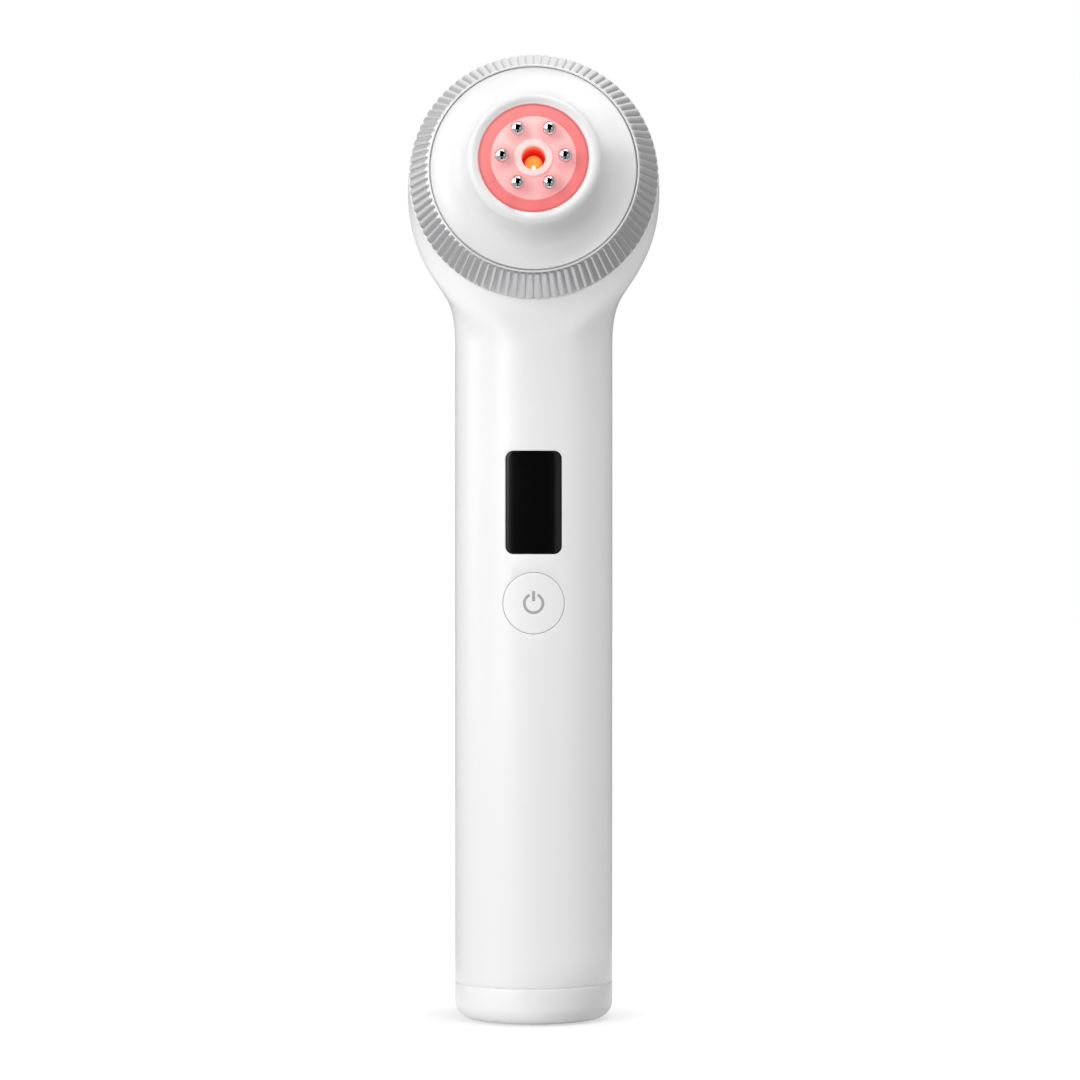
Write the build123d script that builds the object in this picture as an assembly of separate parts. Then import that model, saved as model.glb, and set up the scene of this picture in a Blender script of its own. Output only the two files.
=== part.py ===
"""Cordless facial toning device: a round handle with a display and one button, and a tilted treatment head.

Frame: millimetres, +Z up the handle's axis, origin at the centre of the flat base, front of the device to -Y.
"""
from build123d import *
from math import cos, radians, sin, sqrt
import os

# ---------------------------------------------------------------- handle and shells
HANDLE_RADIUS = 15.1
WALL = 1.8                    # shells, bottom cap
NECK_Z = 126.0                # where the straight handle ends and the neck starts to open
SEAM_Z = 6.9                  # top of the bottom cap's visible band
BASE_ROUNDING = 3.2           # large round between the flat base and the side
SPLIT_Y = 1.2                 # parting plane between front and rear shell, behind the handle's widest line
LIP_REACH = 0.9               # how far the rear shell's tongue passes the parting plane
FIT = 0.05                    # running or assembly clearance, each side
LOOSE_FIT = 0.15              # clearance of parts that drop in, each side
OVERCUT = 1.0                 # how far a cutting form runs past the face that it cuts

# ---------------------------------------------------------------- treatment head
HEAD_TILT = 7.0               # the head's axis looks up by this many degrees
RIM_RADIUS = 23.6             # mouth of the shells and back edge of the fluted ring
RIM_SETBACK = 1.2             # lowest point of the rim, behind the handle's front line
NECK_RISE = 10.8              # lowest point of the rim, above the end of the straight handle
RING_HEIGHT = 7.5
RING_FRONT_RADIUS = 19.95
RING_WALL = 1.5
RING_LIP = 0.45               # plain bright lip between the flutes and the bell
BELL_GAP = 0.09               # clearance between the lip and the bell
RING_EDGE = 0.35              # height of the plain edge in front of the flutes
LIP_TAPER = 0.12
FLUTES = 90
FLUTE_DEPTH = 0.34
SEAL_THICKNESS = 0.3
NOZZLE_RADIUS = 12.4          # outside of the raised nozzle
NOZZLE_HEIGHT = 16.3          # crown of the nozzle's rim above the mouth plane
NOZZLE_ROUNDING = 1.0
BELL_WALL = 1.7
BELL_DROP = 0.3               # bell's outer edge below the ring's front
BELL_FLANK = ((0.58, 0.10), (0.24, 0.32), (0.06, 0.66))    # shares of its width left, and of its rise
FLARE_SHARE = 0.3             # where the bell's inner flare ends, as a share of the flank's width
BROW_SHARE = 0.57             # highest point of the nozzle's rim, as a share of the rim's width from inside
GUIDE_RADIUS = 10.2           # lit ring around the electrode plate
GUIDE_THICKNESS = 1.6
GUIDE_SKIRT = 1.0
GUIDE_RECESS = 0.5            # lit ring below the nozzle's crown
PLATE_RADIUS = 7.9
PLATE_THICKNESS = 1.9
BEZEL_RADIUS = 3.6
BEZEL_HEIGHT = 0.85
EYE_RADIUS = 2.2              # bore over the centre light
REFLECTOR_WALL = 0.85
ELECTRODES = 6
ELECTRODE_CIRCLE = 5.85       # radius of the circle through the electrodes
BALL_RADIUS = 1.27
BALL_LIFT = 2.3               # ball centre above the lit ring's face
STEM_RADIUS = 0.8
STEM_DEPTH = 3.6              # stem below the electrode plate's face
CARRIER_THICKNESS = 1.35
CARRIER_WALL = 0.8
CONTACT_RADIUS = 0.6
CONTACT_FOOT_RADIUS = 0.9
CONTACT_FOOT_HEIGHT = 1.0
LED_BOARD_Z = 7.0             # back face of the light board above the mouth plane
LED_BOARD_THICKNESS = 1.0
SPREADER_THICKNESS = 0.8
RING_LEDS = 12
RING_LED_SIZE = 1.0
CENTRE_LED_RADIUS = 1.6
CENTRE_LED_HEIGHT = 3.9
CENTRE_LED_FLANGE = 0.3
CENTRE_LED_FLANGE_HEIGHT = 0.8
FRAME_DEPTH = 2.5             # head frame behind the mouth plane
FRAME_WEB = 1.5
FRAME_RIM = 2.0
WIRE_HOLE_RADIUS = 4.2
HEAD_SCREWS = 3
HEAD_SCREW_RADIUS = 0.8
HEAD_BOSS_RADIUS = 1.9
STANDOFF_RADIUS = 1.6         # under the light board, with a staked pin through it
STAKE_RADIUS = 0.7
STAKE_INSET = 1.7             # in from the light board's edge
STAKE_HEAD = 0.3
POST_SPREAD = 12.0            # rear posts, each side of the middle
POST_RADIUS = 2.5
POST_SCREW_REACH = 7.0

# ---------------------------------------------------------------- front controls
BUTTON_Z = 79.6
BUTTON_RADIUS = 5.77
BUTTON_GAP = 0.1
BUTTON_FLANGE = 0.95
BUTTON_FLANGE_THICKNESS = 0.75
BUTTON_TRAVEL = 0.4
BUTTON_POST_RADIUS = 1.6
WINDOW_GAP = 3.5              # from the button's edge up to the display window
WINDOW_WIDTH = 10.55
WINDOW_HEIGHT = 19.4
WINDOW_CORNER = 1.45
WINDOW_THICKNESS = 1.15
WINDOW_LEDGE = 0.75
MODULE_INSET = 0.9            # display module's edge inside the window's edge
MODULE_DEPTH = 2.9            # display module's face behind the handle's front line
SWITCH_SIZE = 6.0
SWITCH_HEIGHT = 1.6
PLUNGER_RADIUS = 1.3
PLUNGER_BORE_DEPTH = 1.2
DOME_THICKNESS = 0.15

# ---------------------------------------------------------------- inside the handle
BOARD_DEPTH = 5.5             # main board's face behind the handle's front line
BOARD_THICKNESS = 1.0
BOARD_STANDOFF = 1.4
BOARD_SIDE_GAP = 0.3
BOARD_SCREW_RADIUS = 0.8
SCREW_INSET = 5.0             # board screws in from the board's ends
FRAME_WALL = 1.2
CELL_LENGTH = 50.0
CELL_WALL_GAP = 1.0           # battery cell to the shell's bore
TAB_THICKNESS = 0.3
TAB_WIDTH = 5.0
COLLAR_HEIGHT = 4.0
COLLAR_PLACES = (0.15, 0.8)   # shares of the cell's length
RAIL_DEPTH = 7.2
COMPONENTS = (                # on the main board: width, thickness, start above its lower end, length
    (7.0, 1.0, 15.0, 7.0), (5.0, 1.1, 26.0, 4.0), (4.0, 2.0, 34.0, 4.0), (8.0, 1.4, 1.0, 3.0))
COIL_LIFT = 4.8               # transformer above the shelf over the cell
COIL_HEADROOM = 2.4
COIL_WIDTH = 13.0
COIL_HEIGHT = 12.0
COIL_DEPTH = 6.5
CORE_LEG = 2.4
MOTOR_RADIUS = 5.0
MOTOR_LENGTH = 13.0
MOTOR_SETBACK = 3.0           # motor axis behind the handle's axis
MOTOR_END = 3.6               # closed lower end of the can
SLEEVE_WALL = 1.0
SLEEVE_HEIGHT = 9.0
SHAFT_RADIUS = 0.75
SHAFT_REACH = 4.6
WEIGHT_RADIUS = 4.2
WEIGHT_HEIGHT = 3.4
WEIGHT_HUB = 1.6
WEIGHT_GAP = 0.7
FLEX_WIDTH = 6.0
FLEX_THICKNESS = 0.3
FLEX_OVERLAP = 6.0            # length that lies on the main board
FLEX_BEND = 2.5
FLEX_SETBACK = 8.0            # level run behind the head's mouth

# ---------------------------------------------------------------- base and charging socket
FLOOR = 2.0
SPIGOT_RISE = 5.0
SPIGOT_WALL = 1.4
GASKET_HEIGHT = 0.3
GASKET_INSET = 0.12
SOCKET_WIDTH = 8.94
SOCKET_THICKNESS = 3.26
SOCKET_WALL = 0.3
SOCKET_LENGTH = 7.3
SOCKET_SETBACK = 1.0          # socket's mouth above the base
TONGUE_WIDTH = 6.7
TONGUE_THICKNESS = 0.7
TONGUE_LENGTH = 6.2
CAP_SCREW_SPREAD = 7.4
CAP_SCREW_RADIUS = 0.95
CAP_HEAD_RADIUS = 1.75
CAP_HEAD_HEIGHT = 1.2
CAP_HEAD_SETBACK = 0.4
DRIVE_SLOT = 0.5
BOSS_WALL = 1.15
CHARGE_BOARD_THICKNESS = 1.0
FOOT_THICKNESS = 3.4

# ---------------------------------------------------------------- worked out from the sizes above
bore = HANDLE_RADIUS - WALL
shell_z = SEAM_Z + GASKET_HEIGHT
window_z = BUTTON_Z + BUTTON_RADIUS + WINDOW_GAP + WINDOW_HEIGHT / 2

rim_tilt = radians(HEAD_TILT)
rim_foot = Vector(0, -HANDLE_RADIUS + RIM_SETBACK, NECK_Z + NECK_RISE)
head_up = Vector(0, sin(rim_tilt), cos(rim_tilt))
head_axis = Vector(0, -cos(rim_tilt), sin(rim_tilt))
head_centre = rim_foot + head_up * RIM_RADIUS
head = Location(Plane(origin=head_centre, x_dir=(1, 0, 0), z_dir=head_axis))

board_front = -HANDLE_RADIUS + BOARD_DEPTH
board_back = board_front + BOARD_THICKNESS
plate_front = board_back + BOARD_STANDOFF
plate_back = plate_front + FRAME_WALL
socket_top = SOCKET_SETBACK + SOCKET_LENGTH
foot_z = socket_top + CHARGE_BOARD_THICKNESS
foot_top = foot_z + FOOT_THICKNESS
screw_hole_top = foot_top - FRAME_WALL / 2
cell_front = plate_back + LOOSE_FIT
cell_radius = (bore - CELL_WALL_GAP - cell_front) / 2
cell_y = cell_front + cell_radius
cell_z = foot_top + TAB_THICKNESS
cell_top = cell_z + CELL_LENGTH
shelf_z = cell_top + TAB_THICKNESS + LOOSE_FIT
shelf_top = shelf_z + FRAME_WALL
coil_z = shelf_top + COIL_LIFT
motor_shelf_z = coil_z + COIL_HEIGHT + COIL_HEADROOM
sleeve_z = motor_shelf_z + FRAME_WALL
motor_z = sleeve_z + SLEEVE_WALL + LOOSE_FIT
motor_top = motor_z + MOTOR_LENGTH
board_bottom = foot_top + FRAME_WALL
board_top = NECK_Z - FRAME_WALL
spigot_inner = bore - FIT - SPIGOT_WALL
foot_radius = spigot_inner - LOOSE_FIT

guide_face = NOZZLE_HEIGHT - GUIDE_RECESS
guide_back = guide_face - GUIDE_THICKNESS
plate_rear = guide_face - PLATE_THICKNESS
carrier_back = plate_rear - CARRIER_THICKNESS
led_face = LED_BOARD_Z + LED_BOARD_THICKNESS
spreader_back = LED_BOARD_Z - SPREADER_THICKNESS
carrier_radius = PLATE_RADIUS + FIT
skirt_inner = carrier_radius + FIT
skirt_outer = skirt_inner + GUIDE_SKIRT
bell_bore = skirt_outer + FIT
bell_radius = RING_FRONT_RADIUS - RING_LIP - BELL_GAP
bell_edge_z = RING_HEIGHT - BELL_DROP
bell_foot_z = bell_edge_z - BELL_WALL
reflector_radius = EYE_RADIUS + REFLECTOR_WALL
frame_radius = RIM_RADIUS - WALL - LOOSE_FIT
web_front = spreader_back - BELL_WALL - FIT
web_back = web_front - FRAME_WEB
light_board_radius = NOZZLE_RADIUS - BELL_WALL - LOOSE_FIT
screw_circle = (NOZZLE_RADIUS + bell_radius - FRAME_WALL) / 2
stake_circle = light_board_radius - STAKE_INSET

parts = {}


# ---------------------------------------------------------------- small helpers
def tube(outer, inner, z0, z1):
    """A ring about Z from z0 to z1."""
    return disc(outer, z0, z1) - disc(inner, z0 - OVERCUT, z1 + OVERCUT)


def disc(radius, z0, z1, x=0.0, y=0.0):
    """A solid cylinder about an axis parallel to Z."""
    return Pos(x, y, z0) * extrude(Circle(radius), z1 - z0)


def block(x0, x1, y0, y1, z0, z1):
    """A box between two corners."""
    return Pos((x0 + x1) / 2, (y0 + y1) / 2, (z0 + z1) / 2) * Box(x1 - x0, y1 - y0, z1 - z0)


def turned(outline):
    """An outline of (radius, height) points, or of joined edges, revolved about Z."""
    edges = Polyline(*outline, close=True) if isinstance(outline, list) else outline
    return revolve(Plane.XZ * make_face(edges), Axis.Z)


def punch(sketch, y0, y1, z):
    """A symmetric sketch that faces the front, extruded from y0 back to y1 around height z."""
    front = Plane(origin=(0, y0, z), x_dir=(1, 0, 0), z_dir=(0, 1, 0))
    return extrude(front * sketch, y1 - y0)


def round_rod(radius, y0, y1, z):
    """A round rod along Y."""
    return punch(Circle(radius), y0, y1, z)


def around(count, radius, solid, phase=0.0):
    """Copies of a solid, each on a circle about the local Z axis."""
    turns = [Rot(0, 0, phase + 360 / count * k) * Pos(radius, 0, 0) for k in range(count)]
    return [turn * solid for turn in turns]


def keep(node, *solids):
    """Stores a named node: one solid, or a group of separate solids."""
    parts[node] = solids[0] if len(solids) == 1 else Compound(children=list(solids))


# ---------------------------------------------------------------- housing surface
# The neck's sections are ovals in planes that fan from level, at the end of the handle, to the mouth of the
# head. Three smooth curves carry them: the front line, the back line and the half-width, by control points.
ROUND_ARC = 4 / 3 * (sqrt(2) - 1)    # control length of a quarter arc, as a share of its radius
FRONT_RISE = 3.5                     # the front line leaves the handle and meets the rim upright
BACK_RISE = 30.0                     # the back stays upright over this height before it closes over the top
CROWN_REACH = 32.0                   # how far the crown runs back from the mouth before it turns down
NECK_GROWTH = [0, 0, -0.12, 1.04, 1.14, 1.06, 1]    # of the half-width, from the handle's to the rim's


def raised(controls, count):
    """The control points of the same curve at a higher degree, with this many control points."""
    while len(controls) < count:
        size = len(controls)
        between = [controls[k - 1] * (k / size) + controls[k] * (1 - k / size) for k in range(1, size)]
        controls = [controls[0], *between, controls[-1]]
    return controls


def neck_rows(inset):
    """Control points of the neck: the middle, half-width and half-depth of each step up it."""
    up = Vector(0, 0, 1)
    back_in = Vector(0, inset, 0)
    rim_in = head_up * inset
    front_foot = Vector(0, -HANDLE_RADIUS, NECK_Z) + back_in
    back_foot = Vector(0, HANDLE_RADIUS, NECK_Z) - back_in
    rim_top = rim_foot + head_up * 2 * RIM_RADIUS - rim_in
    front_top = rim_foot + back_in - up * FRONT_RISE
    front = [front_foot, front_foot + up * FRONT_RISE, front_top, rim_foot + rim_in]
    back = [back_foot, back_foot + up * BACK_RISE, rim_top - head_axis * (CROWN_REACH - inset), rim_top]
    count = len(NECK_GROWTH)
    rows = []
    for low, high, growth in zip(raised(front, count), raised(back, count), NECK_GROWTH):
        half_width = HANDLE_RADIUS + (RIM_RADIUS - HANDLE_RADIUS) * growth - inset
        rows.append(((low + high) / 2, Vector(half_width, 0, 0), (high - low) / 2))
    return rows


def quarter_controls(middle, start, end):
    """Control points of a quarter of an oval, from one half-axis to the next."""
    start_arm = start + end * ROUND_ARC
    end_arm = end + start * ROUND_ARC
    return [middle + start, middle + start_arm, middle + end_arm, middle + end]


def oval_face(middle, wide, deep):
    """A flat face inside one oval."""
    corners = ((wide, deep), (deep, -wide), (-wide, -deep), (-deep, wide))
    return Face(Wire([Bezier(*quarter_controls(middle, start, end)) for start, end in corners]))


def housing(inset, overrun):
    """The housing as a solid form: straight handle and neck, drawn in by the inset."""
    rows = neck_rows(inset)
    ends = [oval_face(*rows[0]), oval_face(*rows[-1])]
    sides = []
    for sign in (1, -1):
        for turned_side in (False, True):
            grid = []
            for middle, wide, deep in rows:
                axes = (deep, -wide) if turned_side else (wide, deep)
                grid.append(quarter_controls(middle, axes[0] * sign, axes[1] * sign))
            sides.append(Face.make_bezier_surface(grid))
    form = Part() + Solid(Shell(sides + ends))
    form += extrude(ends[0], NECK_Z - shell_z + overrun, dir=(0, 0, -1))
    if overrun:
        form += extrude(ends[1], overrun, dir=head_axis)
    return form


def make_shells():
    """Front and rear shell with a tongue along the parting line, openings and screw posts."""
    outside = housing(0, 0)
    inside = housing(WALL, OVERCUT)
    middle = housing(WALL / 2, OVERCUT)
    skin = outside - inside
    reach = 4 * RIM_RADIUS
    top = NECK_Z + reach
    rear_half = block(-reach, reach, SPLIT_Y, reach, 0, top)
    front_half = block(-reach, reach, -reach, SPLIT_Y, 0, top)
    tongue_band = block(-reach, reach, SPLIT_Y - LIP_REACH, SPLIT_Y, shell_z, top)
    groove_band = block(-reach, reach, SPLIT_Y - LIP_REACH - FIT, SPLIT_Y, 0, top)
    tongue = (skin & middle) & tongue_band
    groove = housing(WALL / 2 - FIT, OVERCUT) & groove_band
    rear = (skin & rear_half) + tongue
    front = (skin & front_half) - groove

    post_reach = FRAME_DEPTH + LOOSE_FIT
    for side in (-1, 1):
        post = head * (Pos(side * POST_SPREAD, 0, -post_reach - reach) * Cylinder(
            POST_RADIUS, reach, align=(Align.CENTER, Align.CENTER, Align.MIN)))
        pilot = head * disc(
            BOARD_SCREW_RADIUS + FIT, -post_reach - POST_SCREW_REACH - OVERCUT, 0, side * POST_SPREAD)
        seat = (post & rear_half) & housing(WALL / 2, 0)
        neck_part = (post & housing(WALL, 0)) & block(-reach, reach, -reach, SPLIT_Y, 0, top)
        rear = (rear + seat + neck_part) - pilot

    window = RectangleRounded(
        WINDOW_WIDTH + 2 * FIT, WINDOW_HEIGHT + 2 * FIT, WINDOW_CORNER + FIT)
    sight = RectangleRounded(
        WINDOW_WIDTH - 2 * WINDOW_LEDGE, WINDOW_HEIGHT - 2 * WINDOW_LEDGE, WINDOW_CORNER)
    outer = -HANDLE_RADIUS - OVERCUT
    pocket = punch(window, outer, -bore / 2, window_z) - disc(HANDLE_RADIUS - WINDOW_THICKNESS, 0, NECK_Z)
    front -= pocket
    front -= punch(sight, outer, -bore / 2, window_z)
    front -= round_rod(BUTTON_RADIUS + BUTTON_GAP, outer, -bore / 2, BUTTON_Z)
    keep("front_shell", front)
    keep("rear_shell", rear)


def make_base():
    """Bottom cap with its spigot, gasket, screws, and the charging socket on its board."""
    flat = HANDLE_RADIUS - BASE_ROUNDING
    bow = BASE_ROUNDING * sin(radians(45))
    spigot = bore - FIT
    spigot_top = SEAM_Z + SPIGOT_RISE
    rim = Polyline(
        (HANDLE_RADIUS, BASE_ROUNDING), (HANDLE_RADIUS, SEAM_Z), (spigot, SEAM_Z), (spigot, spigot_top),
        (spigot_inner, spigot_top), (spigot_inner, FLOOR + SPIGOT_WALL), (spigot_inner - SPIGOT_WALL, FLOOR),
        (0, FLOOR), (0, 0), (flat, 0))
    turn = ThreePointArc((flat, 0), (flat + bow, BASE_ROUNDING - bow), (HANDLE_RADIUS, BASE_ROUNDING))
    cap = turned(rim + turn)
    recess_top = CAP_HEAD_SETBACK + CAP_HEAD_HEIGHT + FIT
    boss_radius = CAP_SCREW_RADIUS + LOOSE_FIT + BOSS_WALL
    screws = []
    for side in (-1, 1):
        x = side * CAP_SCREW_SPREAD
        cap += disc(boss_radius, FLOOR / 2, socket_top, x)
        cap -= disc(CAP_SCREW_RADIUS + LOOSE_FIT, -OVERCUT, socket_top + OVERCUT, x)
        cap -= disc(CAP_HEAD_RADIUS + LOOSE_FIT, -OVERCUT, recess_top, x)
        head_top = CAP_HEAD_SETBACK + CAP_HEAD_HEIGHT
        screw = disc(CAP_HEAD_RADIUS, CAP_HEAD_SETBACK, head_top, x)
        screw += disc(CAP_SCREW_RADIUS, head_top, screw_hole_top - LOOSE_FIT, x)
        slot_length = 2 * (CAP_HEAD_RADIUS - DRIVE_SLOT)
        drive = Pos(x, 0, CAP_HEAD_SETBACK) * (
            Box(slot_length, DRIVE_SLOT, CAP_HEAD_HEIGHT) + Box(DRIVE_SLOT, slot_length, CAP_HEAD_HEIGHT))
        screws.append(screw - drive)
    slot = SlotOverall(SOCKET_WIDTH + 2 * LOOSE_FIT, SOCKET_THICKNESS + 2 * LOOSE_FIT)
    cap -= Pos(0, 0, -OVERCUT) * extrude(slot, FLOOR + 2 * OVERCUT)
    keep("bottom_cap", cap)
    keep("cap_screws", *screws)
    keep("cap_gasket", tube(HANDLE_RADIUS - GASKET_INSET, spigot + FIT, SEAM_Z, shell_z))

    shell = SlotOverall(SOCKET_WIDTH, SOCKET_THICKNESS)
    mouth = SlotOverall(SOCKET_WIDTH - 2 * SOCKET_WALL, SOCKET_THICKNESS - 2 * SOCKET_WALL)
    can = Pos(0, 0, SOCKET_SETBACK) * extrude(shell, SOCKET_LENGTH)
    can -= Pos(0, 0, SOCKET_SETBACK - OVERCUT) * extrude(mouth, SOCKET_LENGTH + OVERCUT - SOCKET_WALL)
    keep("charge_socket", can)
    tongue_top = socket_top - SOCKET_WALL
    tongue = block(
        -TONGUE_WIDTH / 2, TONGUE_WIDTH / 2, -TONGUE_THICKNESS / 2, TONGUE_THICKNESS / 2,
        tongue_top - TONGUE_LENGTH, tongue_top)
    keep("socket_tongue", tongue)
    board = disc(foot_radius, socket_top, foot_z)
    for side in (-1, 1):
        board -= disc(
            CAP_SCREW_RADIUS + LOOSE_FIT, socket_top - OVERCUT, foot_z + OVERCUT, side * CAP_SCREW_SPREAD)
    keep("charge_board", board)


def make_inner_frame():
    """The moulded frame in the handle: foot, battery rest, shelves, rails and the motor's cup."""
    reach = bore - LOOSE_FIT
    rest_half = sqrt(reach ** 2 - plate_front ** 2)
    frame = disc(foot_radius, foot_z, foot_top)
    inside = disc(reach, 0, NECK_Z)
    frame += block(-rest_half, rest_half, plate_front, plate_back, foot_top, shelf_z) & inside
    collar = tube(cell_radius + LOOSE_FIT + FRAME_WALL, cell_radius + LOOSE_FIT, 0, COLLAR_HEIGHT)
    collar_span = block(-bore, bore, plate_back - FRAME_WALL, cell_y + cell_radius / 2, 0, COLLAR_HEIGHT)
    for share in COLLAR_PLACES:
        z = cell_z + share * CELL_LENGTH
        hoop = Pos(0, cell_y, z) * collar
        frame += (hoop & (Pos(0, 0, z) * collar_span)) & inside
    behind_board = block(-bore, bore, plate_front, bore, 0, NECK_Z)
    for z in (shelf_z, motor_shelf_z):
        frame += disc(reach, z, z + FRAME_WALL) & behind_board
    rail = block(-bore, bore, plate_front, plate_front + RAIL_DEPTH, shelf_z, motor_shelf_z)
    rail &= tube(reach, reach - FRAME_WALL, 0, NECK_Z)
    frame += rail
    top_plate = block(-rest_half, rest_half, plate_front, plate_back, motor_shelf_z, board_top)
    frame += top_plate & inside

    cup_inner = MOTOR_RADIUS + SLEEVE_WALL + FIT
    cup = tube(cup_inner + FRAME_WALL, cup_inner, 0, SLEEVE_HEIGHT)
    cup = (Pos(0, MOTOR_SETBACK, motor_shelf_z) * cup) & inside
    frame += cup
    for x, z in board_screw_places():
        frame += round_rod(BOARD_SCREW_RADIUS + FRAME_WALL, board_back, plate_front, z).moved(Pos(x, 0, 0))
        frame -= round_rod(
            BOARD_SCREW_RADIUS + FIT, board_back - OVERCUT, plate_back + OVERCUT, z).moved(Pos(x, 0, 0))
    for side in (-1, 1):
        frame -= disc(CAP_SCREW_RADIUS + FIT, foot_z - OVERCUT, screw_hole_top, side * CAP_SCREW_SPREAD)
    keep("inner_frame", frame)


def board_screw_places():
    """Places (x, z) of the main board's screws, near its four corners."""
    x = board_half_width() - BOARD_SCREW_RADIUS - 2 * FRAME_WALL
    heights = (board_bottom + SCREW_INSET, board_top - SCREW_INSET)
    return [(side * x, z) for side in (-1, 1) for z in heights]


def board_half_width():
    """Half the width that the bore leaves for the main board."""
    return sqrt((bore - BOARD_SIDE_GAP) ** 2 - board_front ** 2)


def make_boards():
    """Main board with its parts, screws, boost transformer and battery cell with tabs."""
    half = board_half_width()
    board = block(-half, half, board_front, board_back, board_bottom, board_top)
    screws = []
    for x, z in board_screw_places():
        hole = round_rod(BOARD_SCREW_RADIUS + LOOSE_FIT, board_front - OVERCUT, board_back + OVERCUT, z)
        board -= hole.moved(Pos(x, 0, 0))
        screw = round_rod(2 * BOARD_SCREW_RADIUS, board_front - BOARD_SCREW_RADIUS, board_front, z)
        screw += round_rod(BOARD_SCREW_RADIUS, board_front, plate_back - FIT, z)
        screws.append(screw.moved(Pos(x, 0, 0)))
    keep("main_board", board)
    keep("board_screws", *screws)

    components = []
    for width, thickness, start, length in COMPONENTS:
        low = board_bottom + start
        face = board_front - thickness
        components.append(block(-width / 2, width / 2, face, board_front, low, low + length))
    keep("board_components", *components)

    coil_back = board_back + COIL_DEPTH
    core = block(-COIL_WIDTH / 2, COIL_WIDTH / 2, board_back, coil_back, coil_z, coil_z + COIL_HEIGHT)
    inner_half = COIL_WIDTH / 2 - CORE_LEG
    for side in (-1, 1):
        near, far = sorted((side * CORE_LEG / 2, side * inner_half))
        core -= block(
            near, far, board_back - OVERCUT, coil_back + OVERCUT,
            coil_z + CORE_LEG, coil_z + COIL_HEIGHT - CORE_LEG)
    keep("coil_core", core)
    wound = block(
        -inner_half + FIT, inner_half - FIT, board_back + FIT, coil_back + CORE_LEG / 2,
        coil_z + CORE_LEG + FIT, coil_z + COIL_HEIGHT - CORE_LEG - FIT)
    leg_half = CORE_LEG / 2 + FIT
    wound -= block(-leg_half, leg_half, board_back - OVERCUT, coil_back + FIT, coil_z, coil_z + COIL_HEIGHT)
    keep("coil_winding", wound)

    cell = disc(cell_radius, cell_z, cell_top, 0, cell_y)
    cell = fillet(cell.edges(), 2 * TAB_THICKNESS)
    keep("battery_cell", cell)
    tabs = []
    for z in (cell_z - TAB_THICKNESS, cell_top):
        tabs.append(block(
            -TAB_WIDTH / 2, TAB_WIDTH / 2, cell_y - TAB_WIDTH, cell_y + TAB_WIDTH, z, z + TAB_THICKNESS))
    keep("battery_tabs", *tabs)


def make_controls():
    """Display window and module, power button, and the switch that it presses."""
    thickness = WINDOW_THICKNESS - FIT
    glass = RectangleRounded(WINDOW_WIDTH, WINDOW_HEIGHT, WINDOW_CORNER)
    pane = punch(glass, -HANDLE_RADIUS - OVERCUT, -bore / 2, window_z)
    pane &= tube(HANDLE_RADIUS, HANDLE_RADIUS - thickness, 0, NECK_Z)
    keep("display_window", pane)
    half_width = WINDOW_WIDTH / 2 - MODULE_INSET
    half_height = WINDOW_HEIGHT / 2 - MODULE_INSET
    module_front = -HANDLE_RADIUS + MODULE_DEPTH
    keep("display_module", block(
        -half_width, half_width, module_front, board_front, window_z - half_height, window_z + half_height))

    flange_outer = bore - FIT
    flange_inner = flange_outer - BUTTON_FLANGE_THICKNESS
    switch_front = board_front - SWITCH_HEIGHT
    plunger_front = (switch_front - flange_inner) / 2
    front = -HANDLE_RADIUS - OVERCUT
    button = round_rod(BUTTON_RADIUS, front, 0, BUTTON_Z) & tube(HANDLE_RADIUS, flange_inner, 0, NECK_Z)
    flange = round_rod(BUTTON_RADIUS + BUTTON_FLANGE, front, 0, BUTTON_Z) & tube(
        flange_outer, flange_inner, 0, NECK_Z)
    front_of_axis = block(-bore, bore, front, 0, 0, NECK_Z)
    button = (button + flange) & front_of_axis
    button += round_rod(BUTTON_POST_RADIUS, -flange_inner - FIT, plunger_front, BUTTON_Z)
    keep("power_button", button)

    half = SWITCH_SIZE / 2
    body = block(-half, half, switch_front, board_front, BUTTON_Z - half, BUTTON_Z + half)
    well_floor = switch_front + PLUNGER_BORE_DEPTH
    body -= round_rod(PLUNGER_RADIUS + FIT, switch_front - OVERCUT, well_floor, BUTTON_Z)
    keep("switch_body", body)
    dome_front = well_floor - DOME_THICKNESS
    keep("switch_dome", round_rod(PLUNGER_RADIUS - FIT, dome_front, well_floor, BUTTON_Z))
    keep("switch_plunger", round_rod(
        PLUNGER_RADIUS, plunger_front, dome_front - BUTTON_TRAVEL - FIT, BUTTON_Z))


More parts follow.
